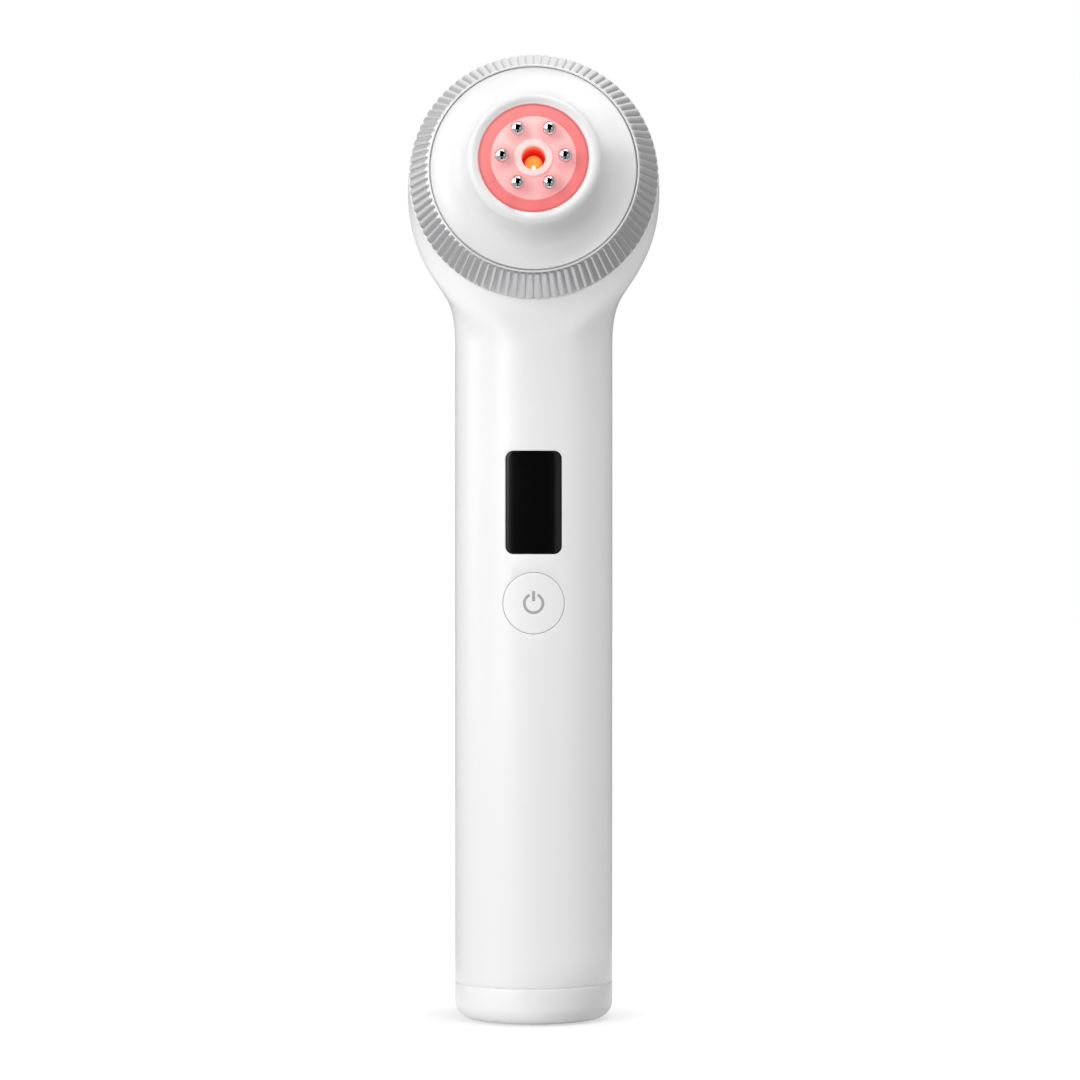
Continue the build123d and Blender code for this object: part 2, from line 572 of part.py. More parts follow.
def make_motor():
    """Vibration motor in its rubber sleeve, and the shaft with its eccentric weight."""
    axis_y = MOTOR_SETBACK
    can = disc(MOTOR_RADIUS, motor_z, motor_top, 0, axis_y)
    can -= disc(SHAFT_RADIUS + FIT, motor_z + MOTOR_END, motor_top + OVERCUT, 0, axis_y)
    keep("motor_can", can)
    sleeve = disc(MOTOR_RADIUS + SLEEVE_WALL, sleeve_z, sleeve_z + SLEEVE_HEIGHT, 0, axis_y)
    sleeve -= disc(MOTOR_RADIUS + FIT, motor_z - LOOSE_FIT, motor_top, 0, axis_y)
    keep("motor_sleeve", sleeve)
    shaft_z = motor_z + MOTOR_END + LOOSE_FIT
    keep("motor_shaft", disc(SHAFT_RADIUS, shaft_z, motor_top + SHAFT_REACH, 0, axis_y))
    weight_z = motor_top + WEIGHT_GAP
    lobe = disc(WEIGHT_RADIUS, weight_z, weight_z + WEIGHT_HEIGHT, 0, axis_y)
    lobe &= block(-WEIGHT_RADIUS, WEIGHT_RADIUS, axis_y, axis_y + WEIGHT_RADIUS, 0, NECK_Z + WEIGHT_RADIUS)
    lobe += disc(WEIGHT_HUB, weight_z, weight_z + WEIGHT_HEIGHT, 0, axis_y)
    lobe -= disc(SHAFT_RADIUS, 0, 2 * NECK_Z, 0, axis_y)
    keep("eccentric_weight", lobe)


def scalloped(radius, z):
    """A closed outline of rounded flutes as a face at height z."""
    step = 360 / FLUTES
    arcs = []
    for k in range(FLUTES):
        start = Vector(radius - FLUTE_DEPTH, 0, z).rotate(Axis.Z, step * k)
        crest = Vector(radius, 0, z).rotate(Axis.Z, step * (k + 0.5))
        end = Vector(radius - FLUTE_DEPTH, 0, z).rotate(Axis.Z, step * (k + 1))
        arcs.append(ThreePointArc(start, crest, end))
    return make_face(arcs)


def make_ring():
    """Fluted ring around the head and the seal under it."""
    back = SEAL_THICKNESS
    lip_inner = RING_FRONT_RADIUS - RING_LIP
    back_inner = RIM_RADIUS - RING_WALL - FLUTE_DEPTH
    flute_top = RING_HEIGHT - RING_EDGE
    fluted = loft([scalloped(RIM_RADIUS, back), scalloped(RING_FRONT_RADIUS, flute_top)], ruled=True)
    hollow = turned([
        (0, back - OVERCUT), (back_inner, back - OVERCUT), (back_inner, back),
        (lip_inner, bell_foot_z), (lip_inner, RING_HEIGHT + OVERCUT), (0, RING_HEIGHT + OVERCUT)])
    lip = turned([
        (lip_inner, bell_foot_z), (lip_inner + RING_LIP / 2, bell_foot_z),
        (RING_FRONT_RADIUS - LIP_TAPER / 2, flute_top), (RING_FRONT_RADIUS - LIP_TAPER, RING_HEIGHT),
        (lip_inner, RING_HEIGHT)])
    keep("head_ring", head * ((fluted - hollow) + lip))
    keep("ring_seal", head * tube(
        RIM_RADIUS - FLUTE_DEPTH - LOOSE_FIT, RIM_RADIUS - WALL + LOOSE_FIT, 0, SEAL_THICKNESS))


def make_bell():
    """The white bell-shaped face with its nozzle, and the screws that hold it to the head frame."""
    crown = NOZZLE_HEIGHT - NOZZLE_ROUNDING
    span = bell_radius - NOZZLE_RADIUS
    rise = crown - bell_edge_z
    between = [(NOZZLE_RADIUS + wide * span, bell_edge_z + high * rise) for wide, high in BELL_FLANK]
    flank = Spline((bell_radius, bell_edge_z), *between, (NOZZLE_RADIUS, crown), tangents=[(-1, 0), (0, 1)])
    crown_in = GUIDE_RADIUS + FIT
    crown_mid = crown_in + BROW_SHARE * (NOZZLE_RADIUS - crown_in)
    brow = Spline(
        (NOZZLE_RADIUS, crown), (crown_mid, NOZZLE_HEIGHT), (crown_in, guide_face),
        tangents=[(0, 1), (-BROW_SHARE, -1)])
    inner_top = guide_back - BELL_WALL
    inside = Polyline(
        (crown_in, guide_face), (crown_in, guide_back), (bell_bore, guide_back), (bell_bore, inner_top),
        (NOZZLE_RADIUS - BELL_WALL, inner_top), (NOZZLE_RADIUS - BELL_WALL, led_face + BELL_WALL),
        (NOZZLE_RADIUS + FLARE_SHARE * span, bell_foot_z), (bell_radius, bell_foot_z),
        (bell_radius, bell_edge_z))
    bell = turned(flank + brow + inside)
    boss = disc(HEAD_BOSS_RADIUS, web_front + FIT, bell_foot_z + BELL_WALL / 2)
    pilot = disc(HEAD_SCREW_RADIUS + FIT, web_front - OVERCUT, bell_foot_z + LOOSE_FIT)
    for place in around(HEAD_SCREWS, screw_circle, boss, 90):
        bell += place
    for place in around(HEAD_SCREWS, screw_circle, pilot, 90):
        bell -= place
    keep("head_bell", head * bell)
    screw = disc(2 * HEAD_SCREW_RADIUS, web_back - HEAD_SCREW_RADIUS, web_back)
    screw += disc(HEAD_SCREW_RADIUS, web_back, bell_foot_z)
    keep("head_screws", *[head * place for place in around(HEAD_SCREWS, screw_circle, screw, 90)])


def make_head_frame():
    """The frame in the mouth of the shells that carries the bell, the ring and the light board."""
    shoulder = RIM_RADIUS - RING_WALL - FLUTE_DEPTH - LOOSE_FIT
    rim_inner = frame_radius - FRAME_RIM
    frame = turned([
        (WIRE_HOLE_RADIUS, web_back), (rim_inner, web_back), (rim_inner, -FRAME_DEPTH),
        (frame_radius, -FRAME_DEPTH), (frame_radius, 0), (shoulder, SEAL_THICKNESS),
        (bell_radius, bell_foot_z - FRAME_WALL / 2), (bell_radius, bell_foot_z - FIT),
        (bell_radius - FRAME_RIM, bell_foot_z - FIT), (bell_radius - FRAME_RIM, web_front),
        (WIRE_HOLE_RADIUS, web_front)])
    standoff = disc(STANDOFF_RADIUS, web_back, spreader_back)
    standoff += disc(STAKE_RADIUS, web_back, led_face + STAKE_HEAD)
    for place in around(HEAD_SCREWS, stake_circle, standoff, 30):
        frame += place
    passage = disc(HEAD_SCREW_RADIUS + LOOSE_FIT, web_back - OVERCUT, web_front + OVERCUT)
    for place in around(HEAD_SCREWS, screw_circle, passage, 90):
        frame -= place
    for side in (-1, 1):
        x = side * POST_SPREAD
        frame += disc(POST_RADIUS, -FRAME_DEPTH, web_front, x)
        frame -= disc(BOARD_SCREW_RADIUS + LOOSE_FIT, -FRAME_DEPTH - OVERCUT, web_front + OVERCUT, x)
    keep("head_frame", head * frame)
    screws = []
    for side in (-1, 1):
        screw = disc(2 * BOARD_SCREW_RADIUS, web_front, web_front + BOARD_SCREW_RADIUS, side * POST_SPREAD)
        screw += disc(BOARD_SCREW_RADIUS, -FRAME_DEPTH - POST_SCREW_REACH, web_front, side * POST_SPREAD)
        screws.append(head * screw)
    keep("frame_screws", *screws)


def make_lights():
    """Lit ring, electrode plate and carrier, eye in the middle, light board and its lights."""
    guide = tube(GUIDE_RADIUS, PLATE_RADIUS + FIT, guide_back, guide_face)
    guide += tube(skirt_outer, skirt_inner, led_face + RING_LED_SIZE + LOOSE_FIT, guide_back)
    keep("light_guide", head * guide)

    stem_hole = disc(STEM_RADIUS + FIT, carrier_back - OVERCUT, guide_face + OVERCUT)
    stem_holes = around(ELECTRODES, ELECTRODE_CIRCLE, stem_hole)
    bezel_seat = guide_face - BEZEL_HEIGHT / 2
    plate = tube(PLATE_RADIUS, reflector_radius + FIT, plate_rear, guide_face)
    plate -= disc(BEZEL_RADIUS + FIT, bezel_seat, guide_face + OVERCUT)
    carrier = tube(carrier_radius, reflector_radius + FIT, carrier_back, plate_rear)
    carrier += tube(carrier_radius, carrier_radius - CARRIER_WALL, led_face, carrier_back)
    for hole in stem_holes:
        plate -= hole
        carrier -= hole
    keep("electrode_plate", head * plate)
    keep("electrode_carrier", head * carrier)

    ball_z = guide_face + BALL_LIFT
    stem_z = guide_face - STEM_DEPTH
    pin = Pos(0, 0, ball_z) * Sphere(BALL_RADIUS) + disc(STEM_RADIUS, stem_z, ball_z)
    keep("electrodes", *[head * place for place in around(ELECTRODES, ELECTRODE_CIRCLE, pin)])
    contact = disc(CONTACT_RADIUS, led_face, stem_z)
    contact += disc(CONTACT_FOOT_RADIUS, led_face, led_face + CONTACT_FOOT_HEIGHT)
    keep("electrode_contacts", *[head * place for place in around(ELECTRODES, ELECTRODE_CIRCLE, contact)])

    top = bezel_seat + BEZEL_HEIGHT
    soft = BEZEL_HEIGHT / 3
    keep("centre_bezel", head * turned([
        (EYE_RADIUS, bezel_seat), (BEZEL_RADIUS, bezel_seat), (BEZEL_RADIUS, top - soft),
        (BEZEL_RADIUS - soft, top), (EYE_RADIUS + soft, top), (EYE_RADIUS, top - soft)]))
    keep("centre_reflector", head * tube(reflector_radius, EYE_RADIUS, led_face, bezel_seat))
    lamp_z = led_face + CENTRE_LED_HEIGHT - CENTRE_LED_RADIUS
    lamp = disc(CENTRE_LED_RADIUS, led_face, lamp_z) + Pos(0, 0, lamp_z) * Sphere(CENTRE_LED_RADIUS)
    lamp &= disc(EYE_RADIUS, led_face, guide_face)
    lamp += disc(CENTRE_LED_RADIUS + CENTRE_LED_FLANGE, led_face, led_face + CENTRE_LED_FLANGE_HEIGHT)
    keep("centre_led", head * lamp)

    board = disc(light_board_radius, LED_BOARD_Z, led_face)
    spreader = tube(light_board_radius, WIRE_HOLE_RADIUS, spreader_back, LED_BOARD_Z)
    for hole in around(HEAD_SCREWS, stake_circle, disc(STAKE_RADIUS + FIT, 0, led_face + OVERCUT), 30):
        board -= hole
        spreader -= hole
    keep("led_board", head * board)
    keep("heat_spreader", head * spreader)
    half = RING_LED_SIZE / 2
    light = block(-half, half, -half, half, led_face, led_face + RING_LED_SIZE)
    light_circle = (skirt_inner + skirt_outer) / 2
    keep("ring_leds", *[head * place for place in around(RING_LEDS, light_circle, light, 15)])


def make_flex():
    """Flat flexible cable from the main board's back up the neck to the light board."""
    start_y = board_back + FLEX_THICKNESS / 2 + FIT
    behind = head_centre - head_axis * FLEX_SETBACK
    end = head_centre + head_axis * (LED_BOARD_Z - FIT)
    neck_foot = NECK_Z + NECK_RISE - FLEX_BEND
    route = FilletPolyline(
        (0, start_y, board_top - FLEX_OVERLAP), (0, start_y, neck_foot),
        (0, behind.Y + FLEX_BEND, (neck_foot + behind.Z) / 2), (0, behind.Y, behind.Z),
        (0, end.Y, end.Z), radius=FLEX_BEND)
    section = Plane(origin=route @ 0, x_dir=(1, 0, 0), z_dir=route % 0)
    keep("head_flex", sweep(section * Rectangle(FLEX_WIDTH, FLEX_THICKNESS), path=route))


def main():
    make_shells()
    make_base()
    make_inner_frame()
    make_boards()
    make_controls()
    make_motor()
    make_ring()
    make_bell()
    make_head_frame()
    make_lights()
    make_flex()
    os.makedirs("parts", exist_ok=True)
    for node, shape in parts.items():
        export_step(shape, f"parts/{node}.step")


main()
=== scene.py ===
"""Facial toning device: finished surfaces, materials and studio over the fixed frame."""
from math import acos, cos, pi, radians, sin, sqrt

import bmesh
import bpy
from bpy.props import FloatProperty, FloatVectorProperty, IntProperty, PointerProperty
from mathutils import Matrix, Vector


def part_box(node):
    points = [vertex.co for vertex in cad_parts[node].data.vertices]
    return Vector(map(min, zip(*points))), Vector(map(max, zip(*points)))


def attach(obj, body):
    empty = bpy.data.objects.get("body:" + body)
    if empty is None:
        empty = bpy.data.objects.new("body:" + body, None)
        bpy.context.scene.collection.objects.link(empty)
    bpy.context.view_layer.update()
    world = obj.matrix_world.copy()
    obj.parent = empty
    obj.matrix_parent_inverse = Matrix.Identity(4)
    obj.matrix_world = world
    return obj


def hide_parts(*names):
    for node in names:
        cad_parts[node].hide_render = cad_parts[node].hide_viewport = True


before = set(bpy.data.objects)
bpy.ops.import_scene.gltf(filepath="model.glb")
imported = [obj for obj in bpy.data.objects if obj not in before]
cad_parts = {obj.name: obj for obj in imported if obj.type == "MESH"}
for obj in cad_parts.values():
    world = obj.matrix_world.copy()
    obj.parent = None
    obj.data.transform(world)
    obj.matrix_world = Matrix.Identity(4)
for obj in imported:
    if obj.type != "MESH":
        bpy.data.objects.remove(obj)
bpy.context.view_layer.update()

bl_info = {
    "name": "Facial Toning Device",
    "version": (1, 0, 0),
    "blender": (4, 5, 0),
    "location": "View3D > Sidebar > Toning Device",
    "description": "Builds the finished surfaces of a facial toning device over its fixed frame",
    "category": "Add Mesh",
}

# Sizes are in millimetres, apart from those of the settings, materials and stage, in metres.
MM = 0.001
high_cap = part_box("bottom_cap")[1]
low_gasket, high_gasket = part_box("cap_gasket")
low_window, high_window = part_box("display_window")
low_button, high_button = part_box("power_button")
FIT = 0.05
SEAT_DEPTH = 0.425
WINDOW_Z = (high_window.z + low_window.z) / 2 / MM
BUTTON_Z = (high_button.z + low_button.z) / 2 / MM
WINDOW_CORNER = 1.45
BUTTON_RADIUS = 5.77
BUTTON_GAP = 0.07


# ---- settings
def length(name, description, default):
    """A size in metres, given in millimetres."""
    return FloatProperty(
        name=name, description=description, default=default * MM, subtype="DISTANCE", precision=5)


def tint(name, description, default):
    """A linear colour."""
    return FloatVectorProperty(
        name=name, description=description, default=default, size=3, subtype="COLOR", min=0, max=1)


class HousingSettings(bpy.types.PropertyGroup):
    radius: length("Handle Radius", "Radius of the straight handle", high_cap.x / MM)
    wall: length("Wall", "Thickness of the shells", 1.8)
    foot_z: length("Shell Foot", "Height where the shells start", high_gasket.z / MM)
    neck_z: length("Neck Start", "Height where the handle starts to open", 126.0)
    split_y: length("Parting Plane", "Depth of the seam between front and rear shell", 1.2)
    edge: length("Edge Rounding", "Small round on openings and seams", 0.11)
    colour: tint("Shell Colour", "Colour of the satin shells", (0.88, 0.88, 0.885))
    accent: tint("Print Colour", "Colour of the printed symbol", (0.40, 0.40, 0.405))


class HeadSettings(bpy.types.PropertyGroup):
    tilt: FloatProperty(
        name="Head Tilt", description="Upward tilt of the head", default=radians(7),
        subtype="ANGLE")
    rim_radius: length("Rim Radius", "Back edge of the fluted ring", 23.6)
    rim_setback: length("Rim Setback", "Lowest point of the rim behind the handle's front", 1.2)
    neck_rise: length("Neck Rise", "Lowest point of the rim above the end of the handle", 10.8)
    ring_height: length("Ring Height", "Front edge of the ring above the rim", 7.5)
    ring_front: length("Ring Front Radius", "Front edge of the ring", 19.95)
    ring_lip: length("Ring Lip", "Plain lip between flutes and bell", 0.45)
    flute_depth: length("Flute Depth", "Height of a flute above its valley", 0.34)
    flutes: IntProperty(
        name="Flutes", description="Flutes around the ring", default=90, min=12, max=240)
    nozzle_radius: length("Nozzle Radius", "Outside of the raised nozzle", 12.4)
    nozzle_height: length("Nozzle Height", "Crown of the nozzle above the rim", 16.3)
    metal: tint("Ring Colour", "Colour of the silver ring", (0.80, 0.80, 0.81))
    face: tint("Bell Colour", "Colour of the glossy bell", (0.85, 0.85, 0.855))


class DiscSettings(bpy.types.PropertyGroup):
    guide_radius: length("Lit Ring Radius", "Outside of the lit ring", 10.2)
    guide_face: length("Lit Ring Face", "Face of the lit ring above the rim", 15.8)
    plate_radius: length("Plate Radius", "Plate that the electrodes stand in", 7.9)
    bezel_radius: length("Bezel Radius", "Pale ring around the eye", 3.6)
    eye_radius: length("Eye Radius", "Bore over the centre lamp", 2.2)
    circle: length("Electrode Circle", "Circle through the electrodes", 5.85)
    ball_radius: length("Ball Radius", "Ball end of an electrode", 1.27)
    ball_lift: length("Ball Lift", "Ball centre above the lit ring's face", 2.3)
    electrodes: IntProperty(
        name="Electrodes", description="Ball electrodes in the circle", default=6, min=1, max=24)
    guide_colour: tint("Lit Ring Colour", "Colour of the lit ring", (0.62, 0.160, 0.160))
    plate_colour: tint("Plate Colour", "Colour of the lit plate", (0.66, 0.36, 0.345))
    bezel_colour: tint("Bezel Colour", "Colour of the pale ring", (0.95, 0.70, 0.66))
    bore_colour: tint("Bore Colour", "Colour of the bore around the lamp", (0.80, 0.028, 0.022))
    lamp_colour: tint("Lamp Colour", "Colour of the centre lamp", (0.88, 0.58, 0.11))


class StageSettings(bpy.types.PropertyGroup):
    eye_height: length("Camera Height", "Height of the level camera", 91.5)
    distance: length("Camera Distance", "Camera to the handle's axis", 710.0)
    side_step: length("Camera Offset", "Camera to the right of the handle's axis", 1.2)
    lens: FloatProperty(
        name="Lens", description="Focal length in millimetres", default=123.2, min=10, max=500)
    key_power: FloatProperty(
        name="Key Light", description="Power of the large soft lamp", default=7.05, unit="POWER")
    fill: FloatProperty(
        name="Surrounding Light", description="Strength of the surroundings", default=0.31,
        min=0, max=2)


# ---- shader maths
GRAIN = 0.00035
GRAIN_DEPTH = 0.000003


class Wire:
    """An output socket that takes part in arithmetic."""

    def __init__(self, nodes, socket):
        self.nodes = nodes
        self.socket = socket

    def __add__(self, other):
        return self.nodes.maths("ADD", self, other)

    def __sub__(self, other):
        return self.nodes.maths("SUBTRACT", self, other)

    def __mul__(self, other):
        return self.nodes.maths("MULTIPLY", self, other)

    def __rsub__(self, other):
        return self.nodes.maths("SUBTRACT", other, self)

    def __abs__(self):
        return self.nodes.maths("ABSOLUTE", self)

    def __pow__(self, other):
        return self.nodes.maths("POWER", self, other)

    __radd__ = __add__
    __rmul__ = __mul__

    def beside(self):
        """All outputs of its node."""
        return [Wire(self.nodes, socket) for socket in self.socket.node.outputs]


class Nodes:
    """A node tree in the making."""

    def __init__(self, tree):
        self.tree = tree
        tree.nodes.clear()

    def node(self, kind, settings=None, inputs=None, output=0):
        """Adds a node: first its settings, then the values or links of its sockets."""
        node = self.tree.nodes.new(kind)
        for key, value in (settings or {}).items():
            setattr(node, key, value)
        for key, value in (inputs or {}).items():
            if isinstance(value, Wire):
                self.tree.links.new(value.socket, node.inputs[key])
            else:
                node.inputs[key].default_value = value
        return Wire(self, node.outputs[output]) if len(node.outputs) else None

    def maths(self, operation, *values):
        return self.node("ShaderNodeMath", {"operation": operation}, dict(enumerate(values)))


class Finish(Nodes):
    """A material or world in the making, ended by its shader."""

    def __init__(self, name, kind="materials"):
        self.owner = getattr(bpy.data, kind).new(name)
        self.owner.use_nodes = True
        super().__init__(self.owner.node_tree)

    def step(self, value, low, high):
        """0 below low, 1 above high, smooth between."""
        settings = {"interpolation_type": "SMOOTHSTEP"}
        inputs = {"Value": value, "From Min": low, "From Max": high}
        return self.node("ShaderNodeMapRange", settings, inputs)

    def place(self, centre=(0, 0, 0), turn=0.0):
        """Object coordinates about a centre, turned about X."""
        spot = self.node("ShaderNodeTexCoord", output="Object")
        inputs = {"Vector": spot, "Location": centre, "Rotation": (turn, 0, 0)}
        return self.node("ShaderNodeMapping", {"vector_type": "TEXTURE"}, inputs)

    def split(self, vector):
        """The three parts of a vector."""
        return self.node("ShaderNodeSeparateXYZ", inputs={"Vector": vector}).beside()

    def reach(self, first, second):
        """Length of a vector with these two parts."""
        return (first * first + second * second) ** 0.5

    def noise(self, vector, grain, detail=2.0):
        """Cloudy values around 0.5 with the given grain size in metres."""
        inputs = {"Vector": vector, "Scale": 1 / grain, "Detail": detail}
        return self.node("ShaderNodeTexNoise", None, inputs)

    def mix(self, share, first, second):
        """A blend of two colours."""
        inputs = {"Factor": share, 6: colour4(first), 7: colour4(second)}
        return self.node("ShaderNodeMix", {"data_type": "RGBA"}, inputs, 2)

    def bump(self, height, depth):
        """A surface normal for a height between 0 and 1, with its depth in metres."""
        inputs = {"Height": height, "Distance": depth, "Strength": 1.0}
        return self.node("ShaderNodeBump", None, inputs)

    def surface(self, **sockets):
        """Ends the material with a Principled shader."""
        inputs = {}
        for key, value in sockets.items():
            name = key.replace("_", " ").title().replace("Ior", "IOR")
            inputs[name] = colour4(value) if name.endswith(("Color", "Tint")) else value
        return self.ended_by(self.node("ShaderNodeBsdfPrincipled", None, inputs))

    def seen(self):
        """1 for what the camera sees, also mirrored or through glass, and 0 for other light."""
        camera, mirrored, through = [
            self.node("ShaderNodeLightPath", output=f"Is {way} Ray")
            for way in ("Camera", "Glossy", "Transmission")]
        return self.maths("MAXIMUM", self.maths("MAXIMUM", camera, mirrored), through)

    def ended_by(self, shader, output="ShaderNodeOutputMaterial"):
        """Ends the tree with a shader."""
        self.node(output, None, {"Surface": shader})
        return self.owner


def colour4(value):
    """A colour with its alpha, or the wire as it is."""
    return value if isinstance(value, Wire) else (*value, 1.0)


def scaled(colour, *shares):
    """A colour times one share, or times one for each of its parts."""
    return [min(1.0, part * share) for part, share in zip(colour, shares * 3)]


def moulded(name, colour, roughness, coat=0.0, shade=None):
    """Moulded plastic: a fine even grain, with faint clouds in its tone and gloss."""
    finish = Finish(name)
    spot = finish.place()
    cloud = finish.noise(spot, 0.03, 3.0)
    fine = finish.noise(spot, GRAIN)
    tone = finish.mix(cloud, scaled(colour, 0.985), scaled(colour, 1.01))
    # a shade function paints light and shade into the tone
    if shade:
        tone = shade(finish, spot, tone, colour)
    return finish.surface(
        base_color=tone, roughness=roughness + (cloud - 0.5) * 0.05 + (fine - 0.5) * 0.04,
        normal=finish.bump(fine, GRAIN_DEPTH), coat_weight=coat, coat_roughness=0.25)


def shell_painted_light_and_shade(finish, spot, tone, colour):
    """Painted light in front, a shade paler from the neck up, and painted shade low on one side of
    the foot.
    """
    across, deep, up = finish.split(spot)
    front = finish.step(deep, 0.006, -0.004)
    # painted light: paler in front from the neck up
    tone = finish.mix(front * finish.step(up, 0.126, 0.140), tone, scaled(colour, 1.11))
    # painted shade: deeper low on one side of the foot
    foot = front * finish.step(up, 0.014, 0.002) * finish.step(across, -0.006, 0.013)
    return finish.mix(foot, tone, scaled(colour, 0.75))


def metal(name, colour, roughness):
    """Bright metal with a fine uneven polish."""
    finish = Finish(name)
    spot = finish.place()
    polish = finish.noise(spot, 0.0004, 3.0)
    cloud = finish.noise(spot, 0.006)
    return finish.surface(
        base_color=finish.mix(cloud, scaled(colour, 0.95), colour), metallic=1.0,
        roughness=roughness + (polish - 0.5) * 0.08, normal=finish.bump(polish, 0.0000015))


def brushed(name, colour, roughness):
    """Turned or drawn metal with fine lines along Z."""
    finish = Finish(name)
    across, deep, up = finish.split(finish.place())
    vector = finish.node("ShaderNodeCombineXYZ", None, {0: across, 1: deep, 2: up * 12.0})
    lines = finish.noise(vector, 0.0012, 4.0)
    return finish.surface(
        base_color=finish.mix(lines, scaled(colour, 0.88), colour), metallic=1.0,
        roughness=roughness + (lines - 0.5) * 0.18, normal=finish.bump(lines, 0.000004))


# ---- mesh helpers
MERGE = 0.002
COPIES_MERGE = 0.004
OUTLINE_STEPS = 10


def placed(name, data):
    """A new object in the scene."""
    made = bpy.data.objects.new(name, data)
    bpy.context.scene.collection.objects.link(made)
    return made


def stored(name, bm):
    """A new object with this mesh."""
    mesh = bpy.data.meshes.new(name)
    bm.to_mesh(mesh)
    bm.free()
    return placed(name, mesh)


def finished(name, bm, material, nodes=(), body="housing", angle=35):
    """Stores a mesh in millimetres as a finished piece in metres, and fits it to the frame."""
    bmesh.ops.remove_doubles(bm, verts=bm.verts, dist=MERGE)
    bmesh.ops.recalc_face_normals(bm, faces=bm.faces)
    piece = stored(name, bm)
    piece.data.transform(Matrix.Scale(MM, 4))
    piece.data.materials.append(material)
    shade_smooth(piece.data, angle)
    if nodes:
        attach(piece, body)
        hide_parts(*nodes)
    return piece


def bake(piece):
    """Turns a piece with its modifiers into a plain mesh."""
    graph = bpy.context.evaluated_depsgraph_get()
    mesh = bpy.data.meshes.new_from_object(
        piece.evaluated_get(graph), preserve_all_data_layers=True, depsgraph=graph)
    piece.modifiers.clear()
    piece.data = mesh


def shade_smooth(mesh, angle):
    """Smooth shading with hard edges above an angle in degrees."""
    mesh.polygons.foreach_set("use_smooth", [True] * len(mesh.polygons))
    mesh.set_sharp_from_angle(angle=radians(angle))


def turns(segments):
    """Angles all the way round."""
    return [2 * pi * k / segments for k in range(segments)]


def quarter(steps, first=0):
    """Angles over a quarter turn."""
    return [pi / 2 * k / steps for k in range(first, steps + 1)]


def row(bm, points):
    """New vertices at the given points."""
    return [bm.verts.new(point) for point in points]


def skin(bm, rows, closed=False):
    """Quads between rows of vertices of equal count."""
    for low, high in zip(rows, rows[1:] + rows[:1] if closed else rows[1:]):
        count = len(low)
        for k in range(count):
            n = (k + 1) % count
            bm.faces.new((low[k], low[n], high[n], high[k]))


def closed_form(bm, rows):
    """Quads between rows of vertices, and a face over each end."""
    skin(bm, rows)
    bm.faces.new(rows[0])
    bm.faces.new(rows[-1])
    return bm


def turned(outline, turn):
    """An outline of (radius, height) points at one angle about Z."""
    return [(r * cos(turn), r * sin(turn), z) for r, z in outline]


def lathe(outline, segments=160):
    """An outline of (radius, height) points turned about Z."""
    bm = bmesh.new()
    skin(bm, [row(bm, turned(outline, turn)) for turn in turns(segments)], closed=True)
    bmesh.ops.remove_doubles(bm, verts=bm.verts, dist=0.0005)
    loose = [edge for edge in bm.edges if not edge.link_faces]
    bmesh.ops.delete(bm, geom=loose, context="EDGES")
    return bm


def prism(points, middle_z, depths):
    """A closed prism along Y over an outline in X and Z."""
    bm = bmesh.new()
    return closed_form(bm, [row(bm, [(x, y, z + middle_z) for x, z in points]) for y in depths])


def standing_prism(points, heights):
    """A closed prism along Z over an outline in X and Y."""
    bm = bmesh.new()
    return closed_form(bm, [row(bm, [(x, y, z) for x, y in points]) for z in heights])


def rounded_outline(half_width, half_height, corner, inset=0.0):
    """A rounded rectangle in X and Z, drawn in by the inset."""
    corner = max(0.02, corner - inset)
    corners = ((1, 1), (-1, 1), (-1, -1), (1, -1))

    def on_corner(number, quarters):
        across, up = corners[number % 4]
        turn = pi / 2 * quarters
        return (
            across * (half_width - inset - corner) + corner * cos(turn),
            up * (half_height - inset - corner) + corner * sin(turn))

    points = []
    for number in range(4):
        points += [on_corner(number, number + k / OUTLINE_STEPS) for k in range(OUTLINE_STEPS + 1)]
        x, z = points[-1]
        next_x, next_z = on_corner(number + 1, number + 1)
        points += [
            (x + (next_x - x) * k / OUTLINE_STEPS, z + (next_z - z) * k / OUTLINE_STEPS)
            for k in range(1, OUTLINE_STEPS)]
    return points


def circle_outline(radius, inset=0.0):
    """A circle in X and Z."""
    return [((radius - inset) * cos(a), (radius - inset) * sin(a)) for a in turns(96)]


def inlay(outline, middle_z, steps):
    """A closed piece let into the handle's wall: one outline in steps of inset and radius."""
    bm = bmesh.new()
    return closed_form(bm, [
        row(bm, [(x, -sqrt(radius ** 2 - x ** 2), z + middle_z) for x, z in outline(inset)])
        for inset, radius in steps])


def rounded_rim(radius, edge, steps):
    """Steps of inset and radius over a rounded edge."""
    return [(edge * (1 - cos(a)), radius - edge * (1 - sin(a))) for a in quarter(steps, 1)]


def eased(points, radii, steps=4):
    """A closed outline with its corners rounded: one radius for each point."""
    result = []
    count = len(points)
    for k, radius in enumerate(radii):
        here = Vector(points[k])
        if radius <= 0:
            result.append(tuple(here))
            continue
        back = Vector(points[k - 1]) - here
        ahead = Vector(points[(k + 1) % count]) - here
        reach = min(radius, back.length * 0.49, ahead.length * 0.49)
        start = here + back.normalized() * reach
        end = here + ahead.normalized() * reach
        for s in range(steps + 1):
            t = s / steps
            result.append(tuple(start.lerp(here, t).lerp(here.lerp(end, t), t)))
    return result


def curve_point(controls, t):
    """A point of the curve with these control points."""
    while len(controls) > 1:
        controls = [a * (1 - t) + b * t for a, b in zip(controls, controls[1:])]
    return controls[0]


